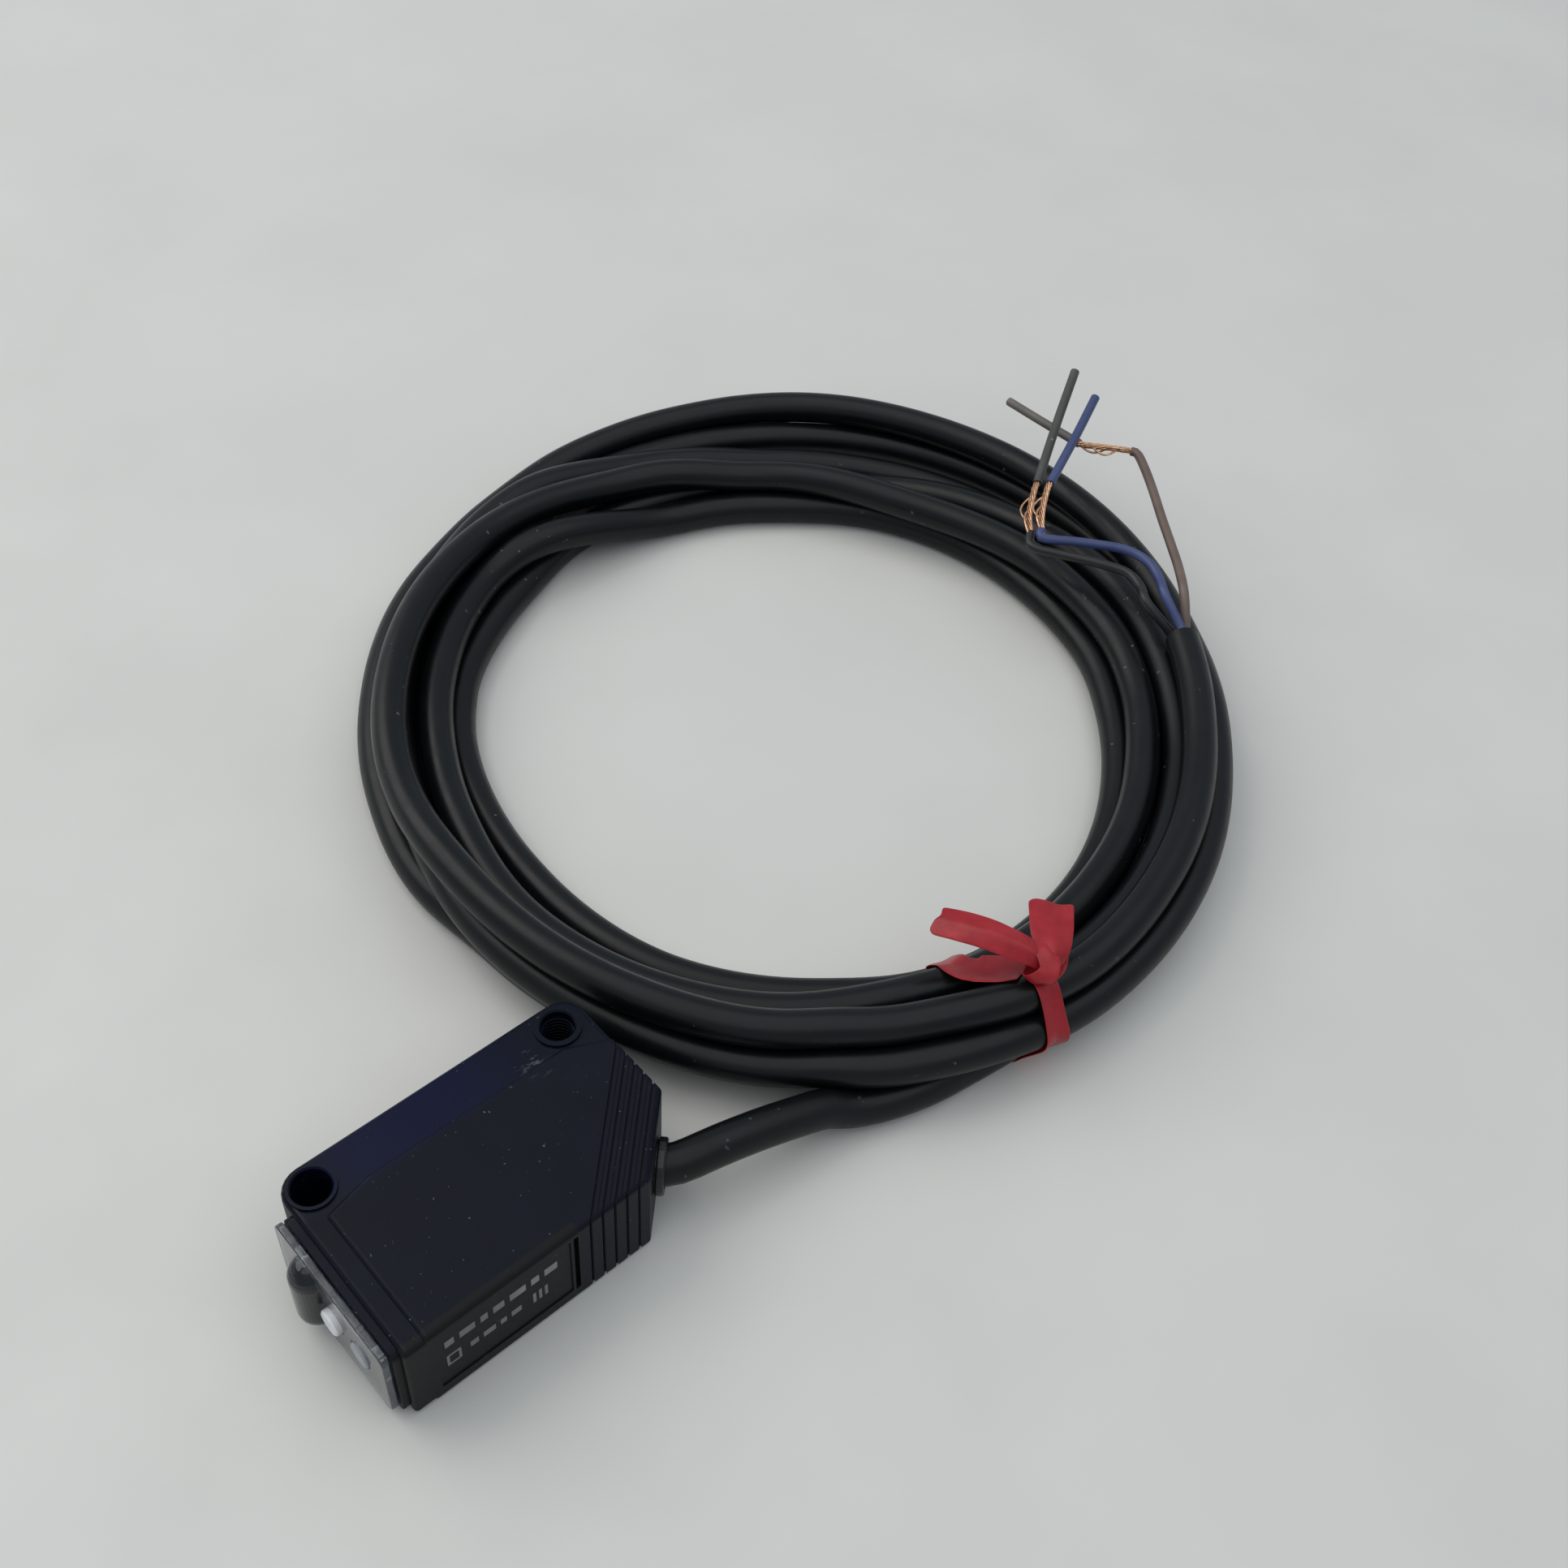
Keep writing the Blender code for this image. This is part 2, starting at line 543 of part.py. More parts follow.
def make_indicator_cover():
    """The clear plate over the indicator end, with its dome over the two lamps."""
    plate = rectangle(2.9 * MM, 0.95 * MM, 19.0 * MM, CASE_WIDTH - 0.95 * MM, 1.0 * MM)
    inner_y = COVER_FACE_Y + COVER_THICKNESS
    cover = mesh_object("indicator_cover", slab_mesh(plate, -inner_y, -COVER_FACE_Y, 0.15 * MM), "clear_cover",
                        ON_TOP_END)
    dome_place = Matrix.Translation((DOME_X, DOME_Y, MIDDLE))
    dome = turned_mesh(capsule_profile(DOME_RADIUS, DOME_STRAIGHT), 32)
    join(cover, mesh_object("dome_tool", dome, None, dome_place))
    whole_end = rectangle(-1 * MM, -1 * MM, CASE_DEPTH + 1 * MM, CASE_WIDTH + 1 * MM)
    cut(cover, mesh_object("dome_back_cutter", slab_mesh(whole_end, -3 * MM, -inner_y), None, ON_TOP_END))
    skirt = rectangle(5.95 * MM, 2.1 * MM, 18.1 * MM, CASE_WIDTH - 2.1 * MM)
    join(cover, mesh_object("skirt_tool", slab_mesh(skirt, -0.3 * MM, 1.2 * MM), None, ON_TOP_END))
    pocket = rectangle(6.5 * MM, 2.65 * MM, 17.55 * MM, CASE_WIDTH - 2.65 * MM)
    hollow = turned_mesh(capsule_profile(DOME_RADIUS - DOME_WALL, DOME_STRAIGHT), 32)
    cut(cover,
        mesh_object("skirt_pocket_cutter", slab_mesh(pocket, -3 * MM, -inner_y), None, ON_TOP_END),
        mesh_object("dome_hollow_cutter", hollow, None, dome_place))
    for name, x in (("sensitivity_hole_cutter", SENSITIVITY_X), ("mode_hole_cutter", MODE_X)):
        place = Matrix.Translation((x, 0, MIDDLE)) @ ON_TOP_END
        cut(cover, drill(name, KNOB_RADIUS + GAP, 0.2 * MM, 2.5 * MM, place, 32))
    return cover


def make_knob(name, x, face_y, material):
    """An adjuster: a slotted head, a groove for its seal and a stub that turns the part below."""
    head = -face_y / MM
    profile = [(0, -0.8), (0.55, -0.8), (0.55, -0.15), (1.25, -0.15), (1.25, 0.1), (0.8, 0.1), (0.8, 0.65),
               (1.25, 0.65), (1.25, head - 0.15), (1.1, head), (0, head)]
    place = Matrix.Translation((x, 0, MIDDLE)) @ ON_TOP_END
    knob = turned(name, profile, material, place, 32)
    slot = box(name + "_slot_cutter", (-0.95, -0.22, head - 0.45), (0.95, 0.22, head + 0.5), None, 0)
    slot.matrix_local = place @ slot.matrix_local
    cross = box(name + "_cross_cutter", (-0.22, -0.95, head - 0.3), (0.22, 0.95, head + 0.5), None, 0)
    cross.matrix_local = place @ cross.matrix_local
    cut(knob, slot, cross)
    return knob


def make_seal(name, x):
    """A rubber ring in an adjuster's groove."""
    centre, thickness, height = 1.24, 0.22, 0.375
    angles = [math.radians(45 * step) for step in range(8)]
    section = [(centre + thickness * math.cos(a), height + thickness * math.sin(a)) for a in angles]
    place = Matrix.Translation((x, 0, MIDDLE)) @ ON_TOP_END
    turned(name, section, "seal_rubber", place, 32, closed=True)


def make_adjusters():
    """Board of the indicator end with the potentiometer, the mode switch and their knobs."""
    box("adjuster_board", (5.9, 3.3, 1.6), (18.5, 4.1, 9.6), "circuit_board", 0)
    middle = MIDDLE / MM
    for name, x in (("sensitivity_potentiometer", SENSITIVITY_X), ("mode_switch", MODE_X)):
        at = x / MM
        body = box(name, (at - 1.7, 0.4, middle - 1.7), (at + 1.7, 3.15, middle + 1.7), "adjuster_body", 0.15 * MM)
        place = Matrix.Translation((x, 0, MIDDLE)) @ ON_TOP_END
        cut(body, drill(name + "_bore_cutter", 0.7 * MM, -1.4 * MM, 1 * MM, place, 24))
    make_knob("sensitivity_knob", SENSITIVITY_X, SENSITIVITY_FACE_Y, "knob_white")
    make_knob("mode_knob", MODE_X, MODE_FACE_Y, "knob_clear")
    make_seal("knob_seal", SENSITIVITY_X)
    make_seal("mode_seal", MODE_X)


def make_lamps():
    """The two indicator lamps on the adjuster board, below the dome."""
    lamp = [(0, -3.15), (0.8, -3.15), (0.8, 0.5), (0.7, 0.85), (0.4, 1.1), (0, 1.2)]
    for name, z, material in (("power_led", MIDDLE - 1.7 * MM, "led_green"),
                              ("output_led", MIDDLE + 1.7 * MM, "led_orange")):
        turned(name, lamp, material, Matrix.Translation((DOME_X, 0, z)) @ ON_TOP_END, 20)


# ---------------------------------------------------------------- cable exit

def make_cable_exit():
    """The grommet through the wall, and the ring crimped on the sheath behind it."""
    grommet = [(2.02, -1.75), (2.6, -1.75), (2.6, -1.35), (2.25, -1.35), (2.25, 0.12), (2.55, 0.12),
               (2.6, 0.25), (2.6, 0.75), (2.5, 0.9), (2.02, 0.9)]
    turned("cable_grommet", grommet, "grommet_black", exit_place(), 32, closed=True)
    clamp = [(2.02, -3.1), (2.5, -3.1), (2.5, -1.95), (2.02, -1.95)]
    turned("cable_clamp", clamp, "steel", exit_place(), 32, closed=True)


def make_inner_leads():
    """The three cores inside the case, from the sheath's end to the main board."""
    start = (EXIT - EXIT_WAY * 4.6 * MM) / MM
    side = Vector((1, -1, 0)).normalized() * 1.15
    routes = {
        "brown": [start - side, (12.1, 24.8, 6.6), (11.95, 22.9, 7.4), (11.95, 20.4, 6.6), (11.95, 18.4, 3.2)],
        "black": [start, (12.8, 23.8, 5.6), (12.25, 22.7, 5.0), (12.2, 21.8, 3.2)],
        "blue": [start + side, (13.9, 23.1, 5.5), (14.4, 22.2, 4.7), (14.8, 21.7, 3.2)],
    }
    for colour, route in routes.items():
        tube("inner_lead_" + colour, route, LEAD_DIAMETER, "lead_" + colour, spacing=1.0)


# ---------------------------------------------------------------- cord

CABLE_START = [
    (13.95, 24.95, 5.6), (15.05, 26.05, 5.6), (16.15, 27.15, 5.6), (17.3, 28.3, 5.6), (18.15, 29.5, 5.55),
    (18.75, 31.2, 5.4), (19.1, 33.0, 5.2), (19.4, 34.9, 5.0), (19.95, 38.2, 4.5), (20.85, 42.8, 3.6),
    (21.75, 46.2, 2.8), (22.55, 49.0, 2.2),
]
LEAD_ROUTES = {
    "brown": ([(3.3, 113.9, 11.5), (0.6, 116.6, 11.6), (-2.6, 119.4, 11.7), (-6.0, 121.9, 11.8),
               (-9.7, 124.6, 11.8), (-13.6, 127.5, 11.9), (-16.8, 129.7, 12.0), (-19.3, 131.2, 12.0)],
              [(-20.2, 131.0, 12.0), (-22.6, 129.2, 11.9), (-24.8, 127.6, 11.7)],
              [(-25.5, 127.5, 11.6), (-32.0, 128.4, 10.4), (-38.6, 129.4, 9.2)]),
    "blue": ([(1.9, 112.4, 11.6), (-0.6, 114.7, 11.7), (-3.0, 116.4, 11.7), (-5.6, 117.4, 11.8),
              (-8.6, 117.2, 11.9), (-12.2, 114.9, 12.2), (-15.6, 112.0, 12.5)],
             [(-16.1, 112.2, 12.9), (-18.2, 114.6, 13.2), (-20.2, 117.3, 13.5)],
             [(-20.6, 118.1, 13.6), (-23.7, 124.5, 14.8), (-26.9, 130.9, 16.0)]),
    "black": ([(0.9, 110.6, 11.4), (-1.2, 112.4, 11.4), (-3.6, 113.9, 11.4), (-6.2, 114.5, 11.4),
               (-9.8, 113.0, 11.4), (-13.0, 110.6, 11.5), (-15.8, 108.6, 11.8)],
              [(-16.5, 108.9, 12.2), (-19.6, 112.8, 12.3), (-22.4, 116.6, 12.5)],
              [(-23.0, 117.5, 12.6), (-27.2, 124.6, 14.7), (-31.2, 131.7, 17.0)]),
}


def make_cable_start():
    tube("cable_start", CABLE_START, CABLE_DIAMETER, "cable_sheath", spacing=0.6)


def make_cable_coil():
    """The outer shape of the coil: a ring with well rounded edges."""
    low, high = COIL_LOW / MM, COIL_HIGH / MM
    inner, outer = COIL_INNER_RADIUS / MM, COIL_OUTER_RADIUS / MM
    edge = 1.9
    section = []
    for centre_r, centre_z, first in ((outer - edge, low + edge, -90), (outer - edge, high - edge, 0),
                                      (inner + edge, high - edge, 90), (inner + edge, low + edge, 180)):
        for step in range(4):
            a = math.radians(first + 30 * step)
            section.append((centre_r + edge * math.cos(a), centre_z + edge * math.sin(a)))
    turned("cable_coil", section, "cable_sheath", Matrix.Translation(COIL_CENTRE), 60, closed=True)


def make_leads():
    """Three leads out of the sheath: insulation, bare strands, and the cut piece left on the tip."""
    for colour, (lead, core, sleeve) in LEAD_ROUTES.items():
        tube("lead_" + colour, lead, LEAD_DIAMETER, "lead_" + colour)
        tube("core_" + colour, core, CORE_DIAMETER, "copper")
        tube("sleeve_" + colour, sleeve, LEAD_DIAMETER, "lead_" + colour)


def make_cable_tie():
    """The ribbon tied round the coil: a band with a knot on top, as one plain closed solid."""
    inner, outer = COIL_INNER_RADIUS, COIL_OUTER_RADIUS
    clear = CORD_GAP
    band_inner = rectangle(inner - clear, TIE_THICKNESS, outer + clear, COIL_HIGH + clear, 1.2 * MM)
    band_outer = rectangle(inner - clear - 0.6 * MM, 0, outer + clear + 0.6 * MM, COIL_HIGH + clear + 0.6 * MM,
                           1.6 * MM)
    half = TIE_WIDTH / 2
    across = Matrix.Translation(COIL_CENTRE) @ Matrix.Rotation(TIE_ANGLE, 4, "Z")
    stand = across @ Matrix(((1, 0, 0, 0), (0, 0, -1, 0), (0, 1, 0, 0), (0, 0, 0, 1)))
    band = mesh_object("cable_tie", slab_mesh(band_outer, -half, half), "tie_red", stand)
    knot_at = across @ Matrix.Translation((inner + 5.0 * MM, 0, COIL_HIGH + 1.6 * MM))
    knot = turned_mesh(capsule_profile(1.9 * MM, 0.6 * MM, 4), 16)
    join(band, mesh_object("knot_tool", knot, None, knot_at))
    cut(band, mesh_object("band_inside_cutter", slab_mesh(band_inner, -2 * half, 2 * half), None, stand))


# ---------------------------------------------------------------- assembly

clear_scene()
MATERIALS = make_materials()
FRAME = bpy.data.objects.new("case_frame", None)
bpy.context.scene.collection.objects.link(FRAME)
FRAME.location = -FOOTPRINT_MIDDLE

make_main_case()
make_front_lens()
make_optics_frame()
make_optics()
make_main_board()
make_links()
make_indicator_cover()
make_adjusters()
make_lamps()
make_cable_exit()
make_inner_leads()
make_cable_start()
make_cable_coil()
make_leads()
make_cable_tie()
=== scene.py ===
"""Looks of a miniature photoelectric sensor that lies beside its coiled cable.

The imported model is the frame: the sensor, its two adjusters, and plain solids for the cord. This script
replaces the cord's solids with the coiled cable, its bared leads and the ribbon round it, gives every piece
its material, and sets the camera and the light. Routes are written in millimetres in the case's own frame:
X from the lens face (0) to the back (20), Y from the shoulder (0) to the bottom (31), Z through the
thickness (0 to 11.2).
"""
import math

import bmesh
import bpy
import numpy as np
from mathutils import Matrix, Vector


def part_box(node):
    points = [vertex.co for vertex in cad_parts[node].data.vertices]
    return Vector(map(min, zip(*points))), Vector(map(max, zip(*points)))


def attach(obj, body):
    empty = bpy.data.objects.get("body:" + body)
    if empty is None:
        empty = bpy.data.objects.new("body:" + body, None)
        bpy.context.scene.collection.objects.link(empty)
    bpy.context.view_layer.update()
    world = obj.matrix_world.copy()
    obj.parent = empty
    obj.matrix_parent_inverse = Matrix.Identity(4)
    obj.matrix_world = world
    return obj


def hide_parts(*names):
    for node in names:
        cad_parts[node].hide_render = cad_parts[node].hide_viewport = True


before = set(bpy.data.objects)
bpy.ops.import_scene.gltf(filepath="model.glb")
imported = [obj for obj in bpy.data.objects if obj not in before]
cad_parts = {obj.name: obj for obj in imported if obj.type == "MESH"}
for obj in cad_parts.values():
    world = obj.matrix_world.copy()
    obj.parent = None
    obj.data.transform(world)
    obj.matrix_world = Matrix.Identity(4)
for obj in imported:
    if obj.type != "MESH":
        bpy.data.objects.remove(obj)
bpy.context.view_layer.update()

MM = 0.001
CASE_FAR_CORNER = np.array((20.0, 31.0, 11.2))
SHIFT = np.array(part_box("main_case")[1]) / MM - CASE_FAR_CORNER


def place(points):
    """Points in the case's millimetres as metres in the row frame."""
    return (np.asarray(points, float) + SHIFT) * MM


# ---------------------------------------------------------------- camera

def make_camera():
    eye = Vector((0.07306, -0.03931, 0.15067))
    target = Vector((-0.02364, 0.05607, 0.0))
    roll = math.radians(4.34)
    forward = (target - eye).normalized()
    level = forward.cross(Vector((0, 0, 1))).normalized()
    right = level * math.cos(roll) + level.cross(forward) * math.sin(roll)
    up = right.cross(forward)
    turn = Matrix((right, up, -forward)).transposed().to_4x4()
    data = bpy.data.cameras.new("camera")
    data.lens = 42.85
    data.sensor_width = 36.0
    data.clip_start = 0.005
    camera = bpy.data.objects.new("camera", data)
    bpy.context.scene.collection.objects.link(camera)
    camera.matrix_world = Matrix.Translation(eye) @ turn
    bpy.context.scene.camera = camera


make_camera()


# ---------------------------------------------------------------- curves and tubes

def smooth(points, spacing):
    """A Catmull-Rom curve through the points, as points at an even spacing."""
    points = np.asarray(points, float)
    ends = np.vstack([2 * points[0] - points[1], points, 2 * points[-1] - points[-2]])
    t = np.linspace(0, 1, 24, endpoint=False)[:, None]
    runs = [0.5 * (2 * b + (c - a) * t + (2 * a - 5 * b + 4 * c - d) * t ** 2
                   + (3 * b - a - 3 * c + d) * t ** 3)
            for a, b, c, d in zip(ends, ends[1:], ends[2:], ends[3:])]
    return evenly(np.vstack([*runs, points[-1:]]), spacing)


def evenly(points, spacing):
    """The same line, with its points an even spacing apart."""
    along = np.r_[0, np.cumsum(np.linalg.norm(np.diff(points, axis=0), axis=1))]
    at = np.linspace(0, along[-1], max(2, round(along[-1] / spacing)) + 1)
    return np.stack([np.interp(at, along, points[:, k]) for k in range(3)], 1)


def tube(name, routes, diameter, material, rounds=4):
    """A curve object with one open spline for each route, in case millimetres."""
    data = bpy.data.curves.new(name, "CURVE")
    data.dimensions = "3D"
    data.bevel_depth = diameter * MM / 2
    data.bevel_resolution = rounds
    data.use_fill_caps = True
    for route in routes:
        spline = data.splines.new("POLY")
        spline.points.add(len(route) - 1)
        for point, at in zip(spline.points, place(route)):
            point.co = (*at, 1)
        spline.use_smooth = True
    made = bpy.data.objects.new(name, data)
    bpy.context.scene.collection.objects.link(made)
    data.materials.append(MATERIALS[material])
    return made


# ---------------------------------------------------------------- materials

class Nodes:
    """A Principled material under construction, with short ways to add nodes."""

    def __init__(self, name):
        self.material = bpy.data.materials.new(name)
        self.material.use_nodes = True
        self.tree = self.material.node_tree
        self.shader = self.tree.nodes["Principled BSDF"]

    def set(self, **values):
        for name, value in values.items():
            self.shader.inputs[name.replace("_", " ")].default_value = value
        return self

    def link(self, output, name):
        self.tree.links.new(output, self.shader.inputs[name.replace("_", " ")])

    def node(self, kind, inputs=None, **settings):
        made = self.tree.nodes.new("ShaderNode" + kind)
        for name, value in settings.items():
            setattr(made, name, value)
        for name, value in (inputs or {}).items():
            socket = made.inputs[name]
            if isinstance(value, bpy.types.NodeSocket):
                self.tree.links.new(value, socket)
            else:
                socket.default_value = value
        return made

    def where(self):
        return self.node("TexCoord").outputs["Object"]

    def noise(self, scale, detail=3.0, rough=0.55, vector=None, stretch=None):
        vector = vector or self.where()
        if stretch:
            vector = self.node("Mapping", {"Vector": vector, "Scale": stretch}).outputs["Vector"]
        inputs = {"Vector": vector, "Scale": scale, "Detail": detail, "Roughness": rough}
        return self.node("TexNoise", inputs).outputs["Fac"]

    def ramp(self, value, *stops):
        """A value through a ramp of (position, grey or colour) stops."""
        made = self.node("ValToRGB", {"Fac": value})
        points = made.color_ramp.elements
        while len(points) < len(stops):
            points.new(0.5)
        for point, (at, colour) in zip(points, stops):
            point.position = at
            point.color = (colour, colour, colour, 1) if isinstance(colour, float) else (*colour, 1)
        return made.outputs["Color"]

    def mix(self, factor, one, two):
        made = self.node("Mix", data_type="RGBA")
        for index, value in ((0, factor), (6, one), (7, two)):
            if isinstance(value, bpy.types.NodeSocket):
                self.tree.links.new(value, made.inputs[index])
            elif index == 0:
                made.inputs[index].default_value = value
            else:
                made.inputs[index].default_value = (*value, 1)
        return made.outputs[2]

    def between(self, value, low, high):
        """0 at low, easing to 1 at high."""
        inputs = {"Value": value, "From Min": low, "From Max": high}
        return self.node("MapRange", inputs, interpolation_type="SMOOTHSTEP").outputs["Result"]

    def math(self, operation, one, two=0.0):
        made = self.node("Math", operation=operation)
        for index, value in ((0, one), (1, two)):
            if isinstance(value, bpy.types.NodeSocket):
                self.tree.links.new(value, made.inputs[index])
            else:
                made.inputs[index].default_value = value
        return made.outputs[0]

    def bump(self, height, distance, strength=0.5):
        made = self.node("Bump", {"Height": height, "Distance": distance, "Strength": strength})
        self.link(made.outputs["Normal"], "Normal")


def seen(red, green, blue):
    """A linear colour from the 0-255 numbers that a screen shows."""
    return tuple((c / 255 / 12.92) if c <= 10 else ((c / 255 + 0.055) / 1.055) ** 2.4
                 for c in (red, green, blue))


def moulded(name, colour, light, roughness, grain=4200, bump=0.00002, dust=0.0, **settings):
    """Moulded plastic or rubber: a fine grain, faint clouds of colour and some dust."""
    m = Nodes(name).set(**settings)
    clouds = m.ramp(m.noise(160, 4), (0.35, 0.0), (0.7, 1.0))
    tint = m.mix(clouds, colour, light)
    if dust:
        specks = m.ramp(m.noise(1500, 2, 0.4), (0.735, 0.0), (0.76, 1.0))
        patches = m.ramp(m.noise(90, 2), (0.45, 0.0), (0.7, 1.0))
        tint = m.mix(m.math("MULTIPLY", m.math("MULTIPLY", specks, patches), dust), tint, seen(150, 152, 150))
    m.link(tint, "Base_Color")
    m.link(m.ramp(m.noise(700, 4), (0.3, roughness - 0.06), (0.7, roughness + 0.06)), "Roughness")
    m.bump(m.noise(grain, 3), bump, 0.35)
    return m.material


def case_plastic():
    """The body: satin panels, a smoother band round the lens side with a painted blue reflection on it, a
    back lightened by a painted reflection, and worn, rubbed patches.
    """
    m = Nodes("case_plastic").set(Specular_IOR_Level=0.13)
    where = m.where()
    axes = m.node("SeparateXYZ", {"Vector": where}).outputs
    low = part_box("main_case")[0]
    band = m.math("MULTIPLY", m.between(axes["X"], float(low[0]) + 0.0056, float(low[0]) + 0.0042),
                  m.math("GREATER_THAN", axes["Z"], 0.0104))
    # along fades the painted blue reflection on the band out towards both ends of the case
    along = m.math("MULTIPLY", m.between(axes["Y"], float(low[1]) + 0.001, float(low[1]) + 0.009),
                   m.between(axes["Y"], float(low[1]) + 0.027, float(low[1]) + 0.017))
    # blue masks the painted blue reflection on the band round the lens side
    blue = m.math("MULTIPLY", band, m.math("MULTIPLY", along, 0.9))
    # the back face below the shoulder is lightened to seen(19, 19, 21): a painted reflection
    painted_back_reflection = m.math("MULTIPLY", m.math("GREATER_THAN", axes["X"], float(low[0]) + 0.0190),
                  m.math("LESS_THAN", axes["Y"], float(low[1]) + 0.0178))
    clouds = m.ramp(m.noise(240, 4), (0.35, 0.0), (0.7, 1.0))
    panel = m.mix(clouds, seen(4, 9, 22), seen(6, 12, 26))
    # seen(6, 12, 44) is a painted blue reflection, not the plastic's own colour
    tint = m.mix(blue, panel, seen(6, 12, 44))
    tint = m.mix(painted_back_reflection, tint, seen(19, 19, 21))
    rubbed = m.ramp(m.noise(420, 6, 0.7, stretch=(1, 0.35, 1)), (0.66, 0.0), (0.78, 1.0))
    corner = m.ramp(m.noise(55, 2), (0.5, 0.0), (0.62, 1.0))
    tint = m.mix(m.math("MULTIPLY", m.math("MULTIPLY", rubbed, corner), 0.35), tint, seen(120, 122, 124))
    scuffed = place((4.4, 24.2, 11.0))
    away = m.node("VectorMath", {0: where, 1: tuple(scuffed)}, operation="DISTANCE").outputs["Value"]
    near = m.ramp(m.math("MULTIPLY", away, 250.0), (0.1, 1.0), (0.6, 0.0))
    scratches = m.ramp(m.noise(1500, 6, 0.75, stretch=(1.6, 0.5, 1)), (0.56, 0.0), (0.62, 1.0))
    tint = m.mix(m.math("MULTIPLY", m.math("MULTIPLY", near, scratches), 0.28), tint, seen(120, 126, 132))
    specks = m.ramp(m.noise(3100, 2, 0.4), (0.745, 0.0), (0.765, 1.0))
    tint = m.mix(m.math("MULTIPLY", specks, 0.22), tint, seen(165, 165, 160))
    m.link(tint, "Base_Color")
    fine = m.ramp(m.noise(2400, 4), (0.3, 0.42), (0.7, 0.48))
    gloss = m.ramp(m.noise(2000, 4), (0.3, 0.20), (0.7, 0.24))
    m.link(m.mix(band, fine, gloss), "Roughness")
    m.bump(m.noise(7000, 2), 0.000006, 0.3)
    return m.material


def cable_sheath():
    """Soft PVC: satin, with dust and the odd scuff."""
    m = Nodes("cable_sheath").set(Specular_IOR_Level=0.27)
    clouds = m.ramp(m.noise(110, 4), (0.35, 0.0), (0.7, 1.0))
    tint = m.mix(clouds, seen(7, 10, 12), seen(11, 13, 15))
    specks = m.ramp(m.noise(1100, 2, 0.45), (0.72, 0.0), (0.745, 1.0))
    patches = m.ramp(m.noise(70, 2), (0.5, 0.0), (0.68, 1.0))
    tint = m.mix(m.math("MULTIPLY", m.math("MULTIPLY", specks, patches), 0.3), tint, seen(150, 152, 150))
    m.link(tint, "Base_Color")
    m.link(m.ramp(m.noise(380, 5), (0.3, 0.30), (0.7, 0.40)), "Roughness")
    m.bump(m.noise(2600, 3), 0.00003, 0.3)
    return m.material


def clear_plastic(name, colour, roughness, transmission, ior=1.49):
    m = Nodes(name).set(Transmission_Weight=transmission, IOR=ior)
    clouds = m.ramp(m.noise(300, 3), (0.35, 0.0), (0.7, 1.0))
    m.link(m.mix(clouds, colour, tuple(c * 0.93 for c in colour)), "Base_Color")
    m.link(m.ramp(m.noise(600, 4), (0.3, roughness), (0.7, roughness + 0.05)), "Roughness")
    m.bump(m.noise(900, 2), 0.00001, 0.15)
    return m.material


def clear_cover():
    """The clear end cover, whose lamp dome is smoked dark."""
    m = Nodes("clear_cover").set(Transmission_Weight=0.9, IOR=1.46)
    axes = m.node("SeparateXYZ", {"Vector": m.where()}).outputs
    dome_low, dome_high = place((5.7, -4.0, 0)), place((9.7, -1.55, 0))
    dome = m.math("MULTIPLY", m.math("LESS_THAN", axes["Y"], float(dome_high[1])),
                  m.math("MULTIPLY", m.math("GREATER_THAN", axes["X"], float(dome_low[0])),
                         m.math("LESS_THAN", axes["X"], float(dome_high[0]))))
    m.link(m.mix(dome, (0.34, 0.37, 0.41), (0.035, 0.04, 0.048)), "Base_Color")
    m.link(m.ramp(m.noise(600, 4), (0.3, 0.05), (0.7, 0.10)), "Roughness")
    m.bump(m.noise(900, 2), 0.00001, 0.15)
    return m.material


def metal(name, dark, light, roughness, scale=900):
    m = Nodes(name).set(Metallic=1.0)
    m.link(m.mix(m.ramp(m.noise(scale, 4), (0.35, 0.0), (0.7, 1.0)), dark, light), "Base_Color")
    m.link(m.ramp(m.noise(1400, 4), (0.3, roughness - 0.05), (0.7, roughness + 0.1)), "Roughness")
    m.bump(m.noise(3000, 3), 0.00001, 0.3)
    return m.material


def ribbon_red():
    """Thin glossy ribbon with a fine crinkled bump."""
    m = Nodes("tie_red").set(Subsurface_Weight=0.15, Subsurface_Scale=0.001, Specular_IOR_Level=0.35)
    m.shader.inputs["Subsurface Radius"].default_value = (1.0, 0.3, 0.2)
    clouds = m.ramp(m.noise(380, 4), (0.35, 0.0), (0.7, 1.0))
    m.link(m.mix(clouds, seen(142, 20, 30), seen(166, 34, 44)), "Base_Color")
    m.link(m.ramp(m.noise(700, 4), (0.3, 0.32), (0.7, 0.45)), "Roughness")
    m.bump(m.noise(900, 5, 0.6), 0.00012, 0.5)
    return m.material


def board_green():
    """Solder mask over faint tracks."""
    m = Nodes("circuit_board").set(Coat_Weight=0.3)
    tracks = m.node("TexBrick", {"Vector": m.where(), "Scale": 900.0, "Mortar Size": 0.06}).outputs["Fac"]
    m.link(m.mix(tracks, (0.01, 0.10, 0.045), (0.02, 0.17, 0.07)), "Base_Color")
    m.link(m.ramp(m.noise(800, 3), (0.3, 0.3), (0.7, 0.42)), "Roughness")
    m.bump(tracks, 0.00003, 0.4)
    return m.material


